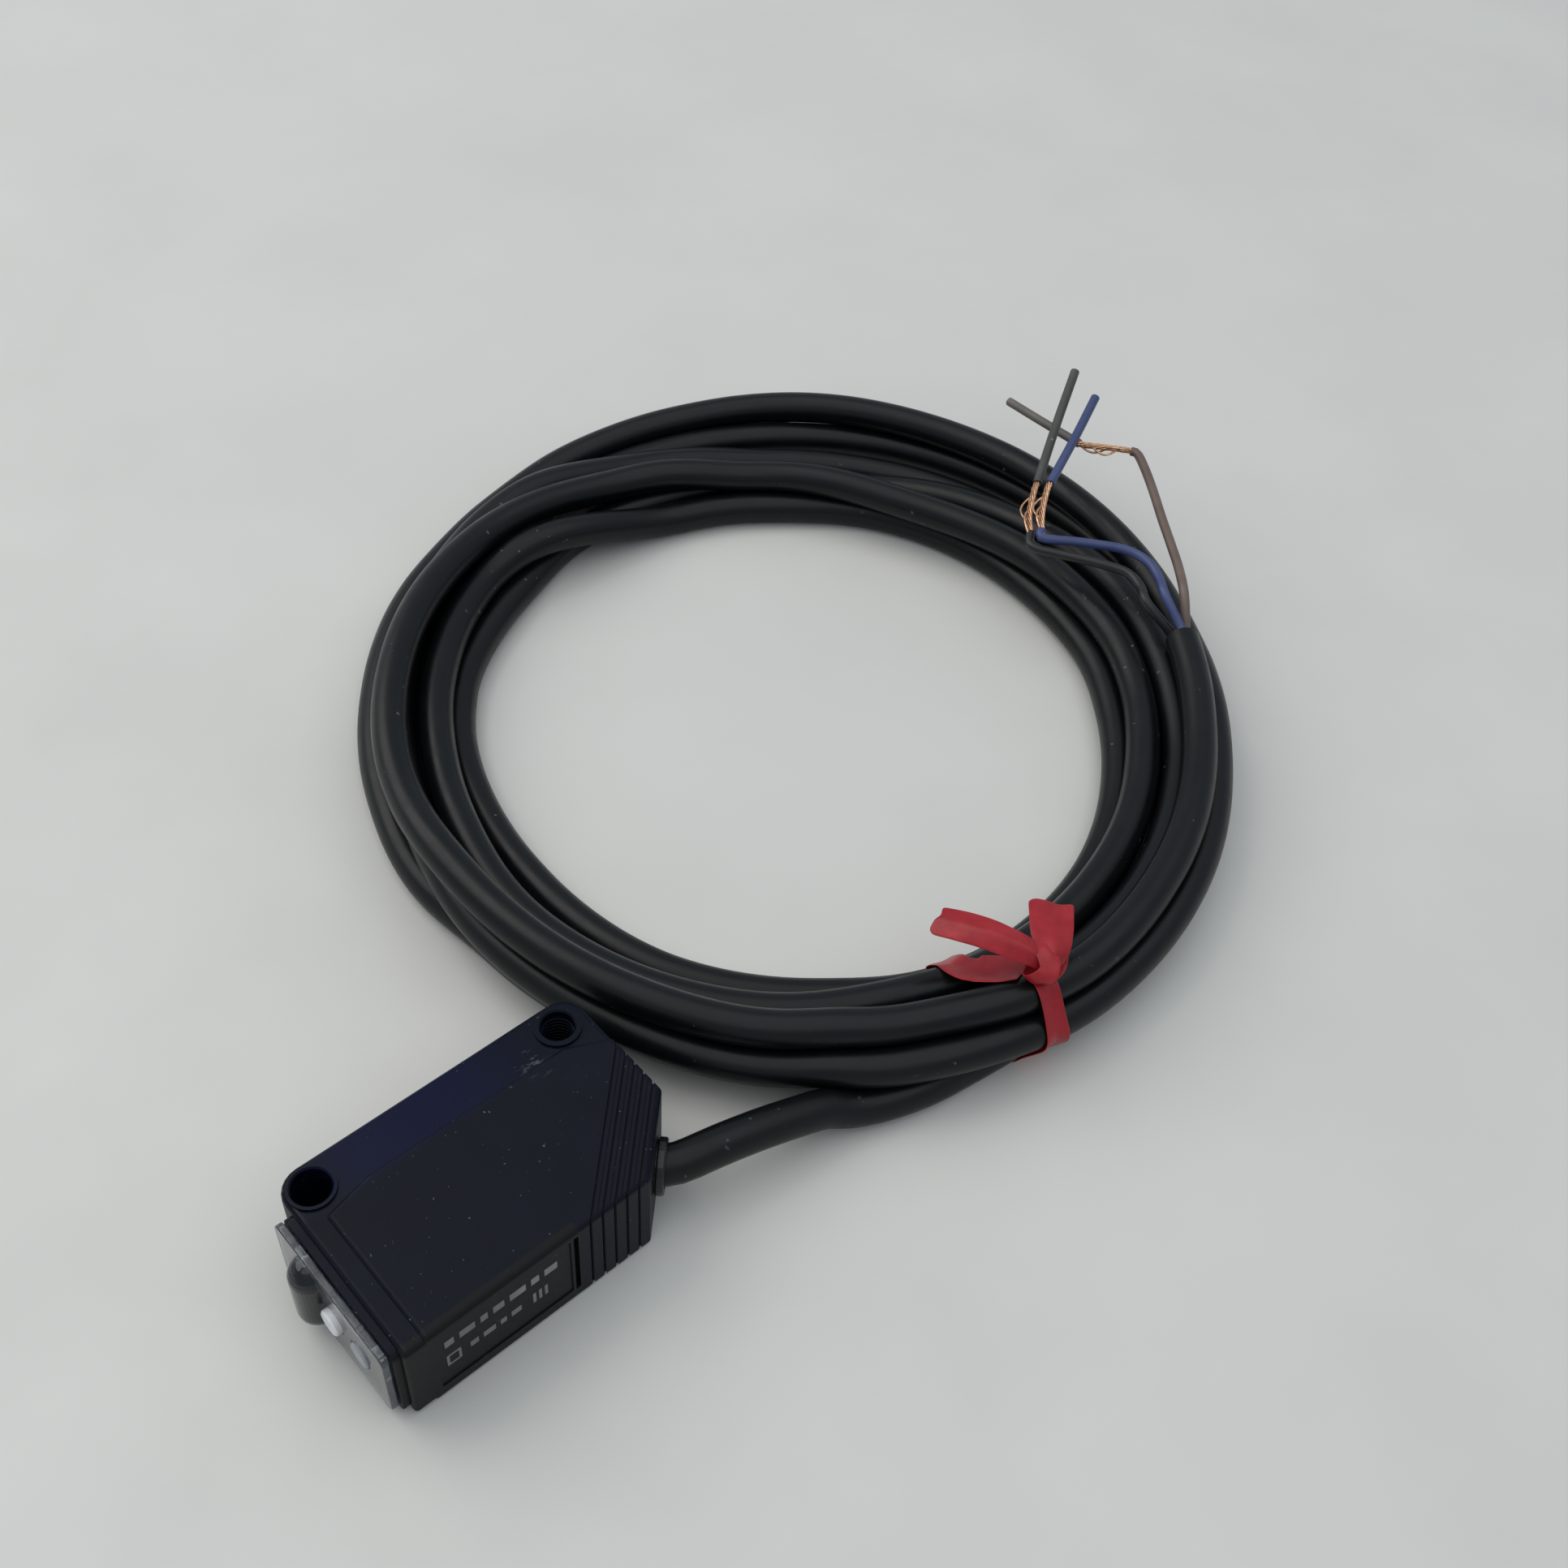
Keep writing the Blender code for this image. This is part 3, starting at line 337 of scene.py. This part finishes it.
MATERIALS = {
    "case_plastic": case_plastic(),
    "lens_window": clear_plastic("lens_window", (0.20, 0.008, 0.012), 0.05, 0.75),
    "clear_cover": clear_cover(),
    "inner_black": moulded("inner_black", seen(22, 22, 24), seen(30, 30, 32), 0.55),
    "circuit_board": board_green(),
    "chip_black": moulded("chip_black", seen(28, 28, 29), seen(36, 36, 37), 0.5),
    "led_clear": clear_plastic("led_clear", (0.82, 0.82, 0.80), 0.08, 0.7),
    "led_green": clear_plastic("led_green", (0.10, 0.55, 0.15), 0.12, 0.5),
    "led_orange": clear_plastic("led_orange", (0.85, 0.30, 0.04), 0.12, 0.5),
    "steel": metal("steel", (0.50, 0.50, 0.49), (0.66, 0.66, 0.64), 0.3),
    "knob_white": moulded("knob_white", seen(222, 223, 225), seen(232, 233, 234), 0.34, Subsurface_Weight=0.2,
                          Subsurface_Scale=0.001),
    "knob_clear": clear_plastic("knob_clear", (0.62, 0.65, 0.68), 0.16, 0.55),
    "adjuster_body": moulded("adjuster_body", (0.10, 0.14, 0.21), (0.14, 0.18, 0.26), 0.4),
    "seal_rubber": moulded("seal_rubber", seen(26, 26, 27), seen(34, 34, 35), 0.65),
    "flex_film": moulded("flex_film", (0.40, 0.16, 0.03), (0.50, 0.22, 0.05), 0.35),
    "grommet_black": moulded("grommet_black", seen(14, 15, 17), seen(22, 23, 25), 0.26),
    "cable_sheath": cable_sheath(),
    "lead_brown": moulded("lead_brown", seen(92, 74, 66), seen(108, 92, 84), 0.42, grain=2600, dust=0.4),
    "lead_blue": moulded("lead_blue", seen(46, 58, 100), seen(60, 72, 116), 0.42, grain=2600, dust=0.4),
    "lead_black": moulded("lead_black", seen(16, 17, 18), seen(24, 25, 26), 0.42, grain=2600, dust=0.4),
    "copper": metal("copper", (0.52, 0.27, 0.15), (0.80, 0.52, 0.34), 0.3, 2500),
    "tie_red": ribbon_red(),
    "sleeve_brown": moulded("sleeve_brown", seen(84, 80, 76), seen(104, 100, 95), 0.5, grain=2600, dust=0.6),
    "sleeve_black": moulded("sleeve_black", seen(50, 51, 50), seen(70, 71, 69), 0.5, grain=2600, dust=0.6),
    "label_print": moulded("label_print", seen(128, 128, 126), seen(92, 92, 92), 0.5),
}
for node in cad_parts.values():
    for held in node.material_slots:
        held.material = MATERIALS[held.material.name.split(".")[0]]


# ---------------------------------------------------------------- the cable

CABLE = 3.8
COIL_CENTRE = np.array((-20.6, 77.6))
CABLE_START = [
    (13.95, 24.95, 5.6), (15.05, 26.05, 5.6), (16.15, 27.15, 5.6), (17.1, 28.15, 5.65), (17.75, 29.2, 5.7),
    (18.15, 30.5, 5.7), (18.45, 32.2, 5.55), (18.85, 34.4, 5.3), (19.6, 38.2, 4.7), (20.6, 42.8, 3.7),
    (21.5, 46.2, 2.8), (22.5, 49.2, 2.1)]
STRAIGHT_OUT = 25.0             # this much of the cable keeps to its route out of the sensor
# Each turn as the hand laid it: (angle in degrees, radius, height). The turns change places as they go round.
LAY = [
    [(-31, 51.5, 1.9), (-14, 48.0, 1.9), (10, 46.2, 1.9), (30, 45.4, 1.9), (50, 45.6, 1.9),
     (75, 47.0, 1.9), (100, 48.2, 1.9), (130, 49.0, 1.9), (150, 48.0, 1.9), (170, 46.0, 1.9),
     (190, 43.4, 1.9), (210, 41.6, 1.9), (230, 41.1, 1.9), (250, 40.9, 1.9), (270, 41.4, 1.9),
     (300, 43.4, 1.9)],
    [(-31, 44.2, 1.9), (-14, 44.0, 1.9), (10, 42.4, 1.9), (30, 41.4, 1.9), (50, 41.2, 1.9),
     (75, 41.8, 1.9), (100, 42.4, 1.9), (130, 42.8, 2.0), (150, 42.6, 3.8), (170, 43.4, 5.2),
     (190, 44.4, 5.3), (210, 43.9, 5.3), (230, 43.4, 5.3), (250, 44.1, 5.2), (270, 45.6, 5.2),
     (300, 48.2, 5.2)],
    [(-31, 50.0, 5.4), (-14, 49.6, 5.2), (10, 47.2, 5.0), (30, 45.8, 5.3), (50, 45.4, 5.3),
     (62, 45.8, 5.2), (75, 46.6, 5.2), (100, 48.2, 5.2), (130, 49.6, 5.2), (150, 50.4, 5.0),
     (170, 49.6, 4.2), (190, 48.0, 3.0), (210, 46.4, 2.2), (230, 45.2, 1.9), (250, 45.0, 1.9),
     (270, 45.6, 1.9), (300, 47.4, 1.9)],
    [(-31, 47.0, 5.0), (-14, 46.0, 5.2), (10, 44.4, 5.2), (30, 42.4, 5.2), (50, 41.6, 5.3),
     (75, 41.4, 5.2), (100, 40.4, 5.0), (115, 39.6, 4.4), (130, 38.9, 3.0), (145, 38.6, 1.9),
     (160, 38.3, 1.9), (170, 38.0, 1.9), (180, 37.5, 1.9), (190, 37.0, 1.9), (210, 36.9, 1.9),
     (230, 37.2, 1.9), (250, 37.0, 1.9), (270, 37.4, 1.9), (300, 39.5, 1.9)],
    [(-31, 40.3, 1.9), (-14, 40.2, 1.9), (10, 38.6, 1.9), (30, 37.4, 1.9), (50, 36.6, 1.9),
     (75, 35.6, 1.9), (100, 35.0, 1.9), (130, 34.8, 1.9), (145, 34.6, 1.9), (160, 34.4, 2.5),
     (170, 34.6, 3.9), (180, 35.5, 5.0), (190, 36.8, 5.3), (200, 38.0, 5.3), (210, 39.0, 5.2),
     (230, 39.6, 5.2), (250, 40.3, 5.2), (270, 41.8, 5.2), (300, 43.8, 5.2)],
    [(-31, 43.8, 5.2), (-14, 43.4, 5.2), (10, 41.4, 5.2), (30, 39.0, 5.2), (50, 37.9, 5.2),
     (75, 36.4, 5.2), (100, 34.8, 5.2), (115, 34.4, 5.2), (130, 34.8, 5.2), (145, 36.2, 5.4),
     (160, 38.0, 5.9), (175, 39.8, 6.9), (190, 41.2, 8.0), (210, 42.4, 8.6), (230, 43.2, 8.8),
     (250, 44.4, 8.6), (270, 45.6, 8.4), (300, 47.8, 8.4)],
    [(-31, 48.3, 8.4), (-14, 47.9, 8.4), (10, 45.8, 8.6), (30, 44.0, 8.9), (50, 43.0, 9.1),
     (56, 42.8, 9.1)],
]


def turns():
    """The turns of the coil as points, with radius and height eased from one station to the next."""
    angles = np.array([angle + 360 * turn for turn, lay in enumerate(LAY) for angle, _, _ in lay], float)
    values = np.array([(radius, height) for lay in LAY for _, radius, height in lay])
    slope = np.zeros_like(values)
    slope[1:-1] = (values[2:] - values[:-2]) / (angles[2:] - angles[:-2])[:, None]
    at = np.arange(angles[0], angles[-1] + 0.5, 1.5)
    i = np.clip(np.searchsorted(angles, at, "right") - 1, 0, len(angles) - 2)
    width = angles[i + 1] - angles[i]
    t, h = ((at - angles[i]) / width)[:, None], width[:, None]
    r, z = ((2 * t ** 3 - 3 * t ** 2 + 1) * values[i] + (t ** 3 - 2 * t ** 2 + t) * h * slope[i]
            + (3 * t ** 2 - 2 * t ** 3) * values[i + 1] + (t ** 3 - t ** 2) * h * slope[i + 1]).T
    a = np.radians(at)
    return np.stack([COIL_CENTRE[0] + r * np.cos(a), COIL_CENTRE[1] + r * np.sin(a), z], 1)


def settle(laid, kept, rounds=600):
    """Lets the laid cable find its rest: it keeps its length, bends gently, and lies on the floor
    and on itself. The first points, as many as kept says, stay as they were laid."""
    p = laid.copy()
    lengths = np.linalg.norm(np.diff(p, axis=0), axis=1)
    for step in range(rounds):
        if step < rounds * 0.7:
            p += 0.03 * (laid - p)
        p[:, 2] -= 0.006
        bend = p[:-4] - 4 * p[1:-3] + 6 * p[2:-2] - 4 * p[3:-1] + p[4:]
        p[2:-2] -= 0.05 * bend
        for first in (0, 1, 0, 1):
            i = np.arange(first, len(p) - 1, 2)
            v = p[i + 1] - p[i]
            length = np.linalg.norm(v, axis=1)
            move = (0.5 * (length - lengths[i]) / length)[:, None] * v
            p[i] += move
            p[i + 1] -= move
        if step % 10 == 0:
            apart = np.linalg.norm(p[:, None, :] - p[None, :, :], axis=2)
            one, two = np.nonzero(np.triu(apart < CABLE + 1.2, 6))
        for _ in range(3):
            v = p[two] - p[one]
            length = np.linalg.norm(v, axis=1)
            hit = length < CABLE
            i, j = one[hit], two[hit]
            push = (0.5 * (CABLE - length[hit]) / np.maximum(length[hit], 1e-6))[:, None] * v[hit]
            moved, count = np.zeros_like(p), np.zeros(len(p))
            np.add.at(moved, i, -push)
            np.add.at(moved, j, push)
            np.add.at(count, i, 1)
            np.add.at(count, j, 1)
            p += moved / np.maximum(count, 1)[:, None]
            p[:, 2] = np.maximum(p[:, 2], CABLE / 2)
        p[:kept] = laid[:kept]
    return p


def cable_route():
    laid = evenly(np.vstack([smooth(CABLE_START, 0.5), smooth(evenly(turns()[3:], 6.0), 0.5)]), 1.8)
    along = np.cumsum(np.linalg.norm(np.diff(laid, axis=0), axis=1))
    return settle(laid, int(np.searchsorted(along, STRAIGHT_OUT)))


ROUTE = cable_route()
cable = tube("signal_cable", [smooth(ROUTE, 1.2)], CABLE, "cable_sheath", 6)


# ---------------------------------------------------------------- the bared leads

LEAD, CORE = 1.1, 0.75
LEAD_ROUTES = {
    "brown": ([(3.3, 113.9, 11.5), (0.6, 116.6, 11.6), (-2.6, 119.4, 11.7), (-6.0, 121.9, 11.8),
               (-9.7, 124.6, 11.8), (-13.6, 127.5, 11.9), (-16.8, 129.7, 12.0), (-19.3, 131.2, 12.0)],
              [(-20.2, 131.0, 12.0), (-22.6, 129.2, 11.9), (-24.8, 127.6, 11.7)],
              [(-25.5, 127.5, 11.6), (-32.0, 128.4, 10.4), (-38.6, 129.4, 9.2)]),
    "blue": ([(1.9, 112.4, 11.6), (-0.6, 114.7, 11.7), (-3.0, 116.4, 11.7), (-5.6, 117.4, 11.8),
              (-8.6, 116.8, 11.9), (-12.2, 113.6, 12.2), (-15.4, 110.2, 12.5)],
             [(-16.3, 110.9, 12.7), (-18.5, 113.3, 12.9), (-20.6, 116.3, 13.2)],
             [(-21.0, 117.2, 13.4), (-23.9, 124.2, 14.8), (-26.9, 130.9, 16.0)]),
    "black": ([(0.9, 110.6, 11.4), (-1.2, 112.4, 11.4), (-3.6, 113.9, 11.4), (-6.2, 114.5, 11.4),
               (-9.8, 112.8, 11.4), (-13.0, 110.8, 11.4), (-15.9, 109.0, 11.6)],
              [(-17.4, 110.4, 11.8), (-19.7, 112.6, 12.1), (-22.0, 115.8, 12.5)],
              [(-22.6, 116.9, 12.6), (-27.2, 124.6, 14.7), (-31.2, 131.7, 17.0)]),
}
SLEEVE_LOOKS = {"brown": "sleeve_brown", "blue": "lead_blue", "black": "sleeve_black"}
SIDE_IN_SHEATH = {"brown": 0.75, "blue": 0.0, "black": -0.75}


def strand_bundle(name, core, strands=7, strand=0.26, turns_per_mm=0.16,
                  strays=((0.1, 0.6, 0.9), (0.35, 0.8, 1.1), (0.5, 0.97, 0.8))):
    """Bare strands twisted round each other along the core, with a few that have sprung loose."""
    line = smooth(core, 0.25)
    along = np.linspace(0, 1, len(line))
    way = np.gradient(line, axis=0)
    way /= np.linalg.norm(way, axis=1)[:, None]
    side = np.cross(way, (0, 0, 1.0))
    side /= np.linalg.norm(side, axis=1)[:, None]
    up = np.cross(side, way)
    length = np.linalg.norm(np.diff(line, axis=0), axis=1).sum()
    routes = [line]
    for k in range(strands - 1):
        angle = 2 * math.pi * (k / (strands - 1) + turns_per_mm * length * along)[:, None]
        radius = (CORE / 2 - strand / 2) * (1 + 0.12 * np.sin(9 * along + k))[:, None]
        routes.append(line + radius * (np.cos(angle) * side + np.sin(angle) * up))
    for k, (first, last, bulge) in enumerate(strays):
        part = slice(int(first * len(line)), int(last * len(line)))
        arch = np.sin(np.linspace(0, math.pi, len(line[part])))[:, None]
        outward = math.cos(2.4 + k) * side[part] + math.sin(2.4 + k) * up[part]
        routes.append(line[part] + bulge * arch * outward)
    return tube(name, routes, strand, "copper", 2)


on_cable = []
end, before = ROUTE[-1], ROUTE[-4]
out = (end - before) / np.linalg.norm(end - before)
across = np.cross(out, (0, 0, 1.0))
for colour, (lead, core, sleeve) in LEAD_ROUTES.items():
    aside = across * SIDE_IN_SHEATH[colour] + np.array((0, 0, 0.55 if colour == "blue" else -0.35))
    inside = [end - out * 2.5 + aside, end - out * 0.6 + aside, end + out * 1.2 + aside * 1.1]
    route = smooth(inside + lead[1:] + core[:1], 0.6)
    soft = tube("lead_%s_soft" % colour, [route], LEAD, "lead_" + colour, 4)
    bare = strand_bundle("core_%s_strands" % colour, [lead[-1]] + core + [sleeve[0]])
    cut_off = tube("sleeve_%s_soft" % colour, [smooth(sleeve, 0.8)], LEAD, SLEEVE_LOOKS[colour], 4)
    for piece, kind in ((soft, "lead"), (bare, "core"), (cut_off, "sleeve")):
        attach(piece, "sensor")
        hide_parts("%s_%s" % (kind, colour))
        on_cable.append(piece)


# ---------------------------------------------------------------- the ribbon

RIBBON = 0.14


FLAT = ROUTE[:, :2] - COIL_CENTRE
TURNED = np.degrees(np.unwrap(np.arctan2(FLAT[:, 1], FLAT[:, 0])))


def crossings(angle):
    """(radius, height) of each strand's centre where it crosses this angle of the coil."""
    found = []
    for full in range(-720, 2880, 360):
        for k in np.nonzero((TURNED[:-1] - angle - full) * (TURNED[1:] - angle - full) < 0)[0]:
            found.append((np.hypot(*FLAT[k]), ROUTE[k, 2]))
    return np.array(found)


def round_bundle(direction, angle, gap):
    """The point on a band drawn tight round the strands at this angle, in this direction of the section."""
    centres = crossings(angle)
    around = np.radians(np.arange(0, 360, 3))
    normals = np.stack([np.cos(around), np.sin(around)], 1)
    middle = np.array((45.3, 5.4))
    room = ((centres - middle) @ normals.T).max(axis=0) + CABLE / 2 + gap
    way = np.array((math.cos(direction), math.sin(direction)))
    facing = normals @ way
    return middle + (room[facing > 0.05] / facing[facing > 0.05]).min() * way


def ribbon(name, middle_line, sides, widths, folds, closed=False, torn=0):
    """A strip along middle_line. sides point across it, folds lift its middle into a crease."""
    middle_line, sides = np.asarray(middle_line, float), np.asarray(sides, float)
    way = np.gradient(middle_line, axis=0)
    way /= np.linalg.norm(way, axis=1)[:, None]
    sides = sides - (sides * way).sum(1)[:, None] * way
    sides /= np.linalg.norm(sides, axis=1)[:, None]
    up = np.cross(sides, way)
    across_steps = np.linspace(-1, 1, 7)
    mesh = bmesh.new()
    rows = []
    for k, (at, side, lift) in enumerate(zip(middle_line, sides, up)):
        row = []
        for n, s in enumerate(across_steps):
            shape = folds[k] * (1 - abs(s)) + 0.06 * math.sin(3 * s + 0.35 * k) * min(1.0, widths[k] / 3)
            at_torn_end = torn and k == len(middle_line) - 1
            stretch = torn * (0.35 * math.sin(7.3 * n) + 0.2 * (n % 2)) if at_torn_end else 0.0
            row.append(mesh.verts.new(place(at + side * s * widths[k] / 2 + lift * shape + way[k] * stretch)))
        rows.append(row)
    pairs = list(zip(rows, rows[1:])) + ([(rows[-1], rows[0])] if closed else [])
    for one, two in pairs:
        for a, b, c, d in zip(one, one[1:], two[1:], two):
            mesh.faces.new((a, b, c, d))
    data = bpy.data.meshes.new(name)
    mesh.to_mesh(data)
    mesh.free()
    data.shade_smooth()
    made = bpy.data.objects.new(name, data)
    bpy.context.scene.collection.objects.link(made)
    data.materials.append(MATERIALS["tie_red"])
    thick = made.modifiers.new("thickness", "SOLIDIFY")
    thick.thickness = RIBBON * MM
    thick.offset = 0
    rounder = made.modifiers.new("smooth", "SUBSURF")
    rounder.levels = rounder.render_levels = 2
    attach(made, "sensor")
    return made


def on_coil(angle, radius, height):
    a = math.radians(angle)
    return np.array((COIL_CENTRE[0] + radius * math.cos(a), COIL_CENTRE[1] + radius * math.sin(a), height))


KNOT = on_coil(-13.2, 47.9, 11.6)


def ribbon_band():
    """The loop, from the knot down the outer side, under the strands and up the inner side."""
    # direction round the section in degrees, angle of the coil, width, crease
    keys = np.array([
        (64, -13.5, 2.4, 0.3), (45, -13.5, 2.3, 0.35), (20, -13.4, 2.3, 0.4), (0, -13.4, 2.6, 0.4),
        (-25, -13.6, 3.2, 0.3), (-50, -14.4, 4.2, 0.1), (-80, -15.8, 4.6, 0.0), (-110, -17.4, 3.8, 0.0),
        (-140, -18.4, 3.2, 0.1), (-165, -20.2, 3.0, 0.2), (-190, -20.7, 3.0, 0.3), (-215, -20.5, 3.2, 0.3),
        (-240, -19.6, 4.2, 0.3), (-256, -18.0, 4.8, 0.4), (-270, -16.2, 4.6, 0.5), (-284, -14.6, 3.6, 0.5),
    ])
    at = np.linspace(0, len(keys) - 1, 90)
    values = np.stack([np.interp(at, np.arange(len(keys)), keys[:, k]) for k in range(4)], 1)
    for _ in range(4):
        values[1:-1] = (values[:-2] + 2 * values[1:-1] + values[2:]) / 4
    line = []
    for direction, angle, _, _ in values:
        radius, height = round_bundle(math.radians(direction), angle, RIBBON / 2 + 0.22)
        line.append(on_coil(angle, radius, max(height, 0.12)))
    tangent = on_coil(-13.0, 1, 0) - on_coil(-15.0, 1, 0)
    return ribbon("ribbon_band", line, [tangent] * len(line), values[:, 2], values[:, 3])


def ribbon_tail(name, points, side, widths, folds):
    line = smooth(points, 0.7)
    at = np.linspace(0, 1, len(line))
    spread = np.linspace(0, 1, len(widths))
    return ribbon(name, line, [side] * len(line), np.interp(at, spread, widths),
                  np.interp(at, spread, folds), torn=1.0)


def ribbon_knot():
    """The turn of ribbon drawn tight over the crossing: a small pinched loop."""
    forth = np.array((-0.86, -0.5, 0.1))
    forth /= np.linalg.norm(forth)
    aside = np.cross(forth, (0, 0, 1.0))
    aside /= np.linalg.norm(aside)
    lift = np.cross(aside, forth)
    line, widths, folds = [], [], []
    for step in range(28):
        a = 2 * math.pi * step / 28
        line.append(KNOT + aside * 1.75 * math.cos(a) + lift * (1.25 * math.sin(a) + 0.1)
                    + forth * 0.5 * math.sin(2 * a))
        widths.append(2.6 + 0.7 * math.cos(a + 0.6))
        folds.append(0.35 + 0.2 * math.sin(2 * a))
    return ribbon("ribbon_knot", line, [forth] * len(line), widths, folds, closed=True)


band = ribbon_band()
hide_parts("cable_tie")
knot = ribbon_knot()
tails = [
    ribbon_tail("ribbon_tail_near",
                [KNOT + (0.2, 0.2, 0.2), (24.0, 65.6, 12.9), (20.9, 64.1, 13.2), (18.4, 62.9, 12.9),
                 (16.4, 61.9, 12.5)],
                (-0.3, 0.95, 0.2), (2.0, 2.9, 3.3, 3.4, 3.2), (0.7, 0.8, 0.8, 0.6, 0.4)),
    ribbon_tail("ribbon_tail_far",
                [KNOT + (0.3, 0.0, 0.4), (25.9, 67.6, 12.9), (24.6, 68.9, 12.9), (23.1, 70.5, 12.7),
                 (21.6, 72.1, 12.3)],
                (0.55, 0.83, 0.0), (2.4, 3.6, 4.2, 4.3, 4.4), (0.7, 0.5, 0.25, 0.1, 0.0)),
]
on_cable += [band, knot, *tails]

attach(cable, "sensor")
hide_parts("cable_start", "cable_coil")


# ---------------------------------------------------------------- small things on the case

def thread_in_hole():
    """The thread that shows in the fixing hole at the cable end."""
    thread_turns, pitch, steps_a_turn = 19, 0.5, 16
    steps = np.arange(0, thread_turns * steps_a_turn)
    around = steps * 2 * math.pi / steps_a_turn
    turn = np.stack([2.6 + 1.5 * np.cos(around), 27.9 + 1.5 * np.sin(around),
                     0.9 + steps * pitch / steps_a_turn], 1)
    made = tube("hole_thread", [turn], 0.2, "case_plastic", 2)
    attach(made, "sensor")


LABEL_FACE = 19.9               # just above the floor of the shallow label recess in the back


def label_marks():
    """Plain printed bars on the back, where a label would carry its text."""
    bars = []                                   # low y, low z, high y, high z
    y = 3.6
    for width in (0.9, 1.5, 0.7, 1.1, 1.6, 0.8, 1.3):
        bars.append((y, 7.5, y + width, 8.5))
        y += width + 0.55
    y = 5.9
    for width in (0.8, 1.2, 0.6, 1.0):
        bars.append((y, 4.8, y + width, 5.6))
        y += width + 0.5
    bars += [(3.6, 4.3, 5.0, 4.55), (3.6, 5.75, 5.0, 6.0), (3.6, 4.55, 3.85, 5.75), (4.75, 4.55, 5.0, 5.75)]
    bars += [(12.2, 4.4, 12.5, 5.9), (12.8, 4.4, 13.1, 5.9), (13.4, 4.4, 13.7, 5.9)]
    mesh = bmesh.new()
    for low_y, low_z, high_y, high_z in bars:
        corners = [(LABEL_FACE, low_y, low_z), (LABEL_FACE, high_y, low_z),
                   (LABEL_FACE, high_y, high_z), (LABEL_FACE, low_y, high_z)]
        mesh.faces.new([mesh.verts.new(at) for at in place(corners)])
    data = bpy.data.meshes.new("label_marks")
    mesh.to_mesh(data)
    mesh.free()
    made = bpy.data.objects.new("label_marks", data)
    bpy.context.scene.collection.objects.link(made)
    data.materials.append(MATERIALS["label_print"])
    thick = made.modifiers.new("thickness", "SOLIDIFY")
    thick.thickness = 0.03 * MM
    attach(made, "sensor")


thread_in_hole()
label_marks()


# ---------------------------------------------------------------- floor and light

def make_floor():
    bpy.ops.mesh.primitive_plane_add(size=6.0, location=(0, 0, 0))
    floor = bpy.context.object
    floor.name = "floor"
    m = Nodes("floor_paper")
    clouds = m.ramp(m.noise(30, 3), (0.3, 0.0), (0.7, 1.0))
    m.link(m.mix(clouds, seen(206, 206, 202), seen(201, 200, 197)), "Base_Color")
    m.link(m.ramp(m.noise(60, 3), (0.3, 0.5), (0.7, 0.6)), "Roughness")
    m.bump(m.noise(900, 3), 0.00005, 0.2)
    floor.data.materials.append(m.material)


def area_light(name, place_at, look_at, size, power, colour):
    data = bpy.data.lights.new(name, "AREA")
    data.shape = "DISK"
    data.size = size
    data.energy = power
    data.color = colour
    lamp = bpy.data.objects.new(name, data)
    bpy.context.scene.collection.objects.link(lamp)
    lamp.location = place_at
    lamp.rotation_euler = (Vector(look_at) - Vector(place_at)).to_track_quat("-Z", "Y").to_euler()


def make_light():
    world = bpy.data.worlds.new("room")
    world.use_nodes = True
    world.node_tree.nodes["Background"].inputs["Color"].default_value = (0.80, 0.90, 1.0, 1)
    world.node_tree.nodes["Background"].inputs["Strength"].default_value = 0.50
    bpy.context.scene.world = world
    area_light("key", (-0.60, -0.20, 0.62), (-0.02, 0.05, 0.0), 0.80, 3.1, (1.0, 0.96, 0.90))
    area_light("overhead", (0.10, 0.05, 0.90), (-0.02, 0.05, 0.0), 1.50, 4.2, (1.0, 0.97, 0.92))
    bpy.context.scene.view_settings.view_transform = "Standard"


make_floor()
make_light()
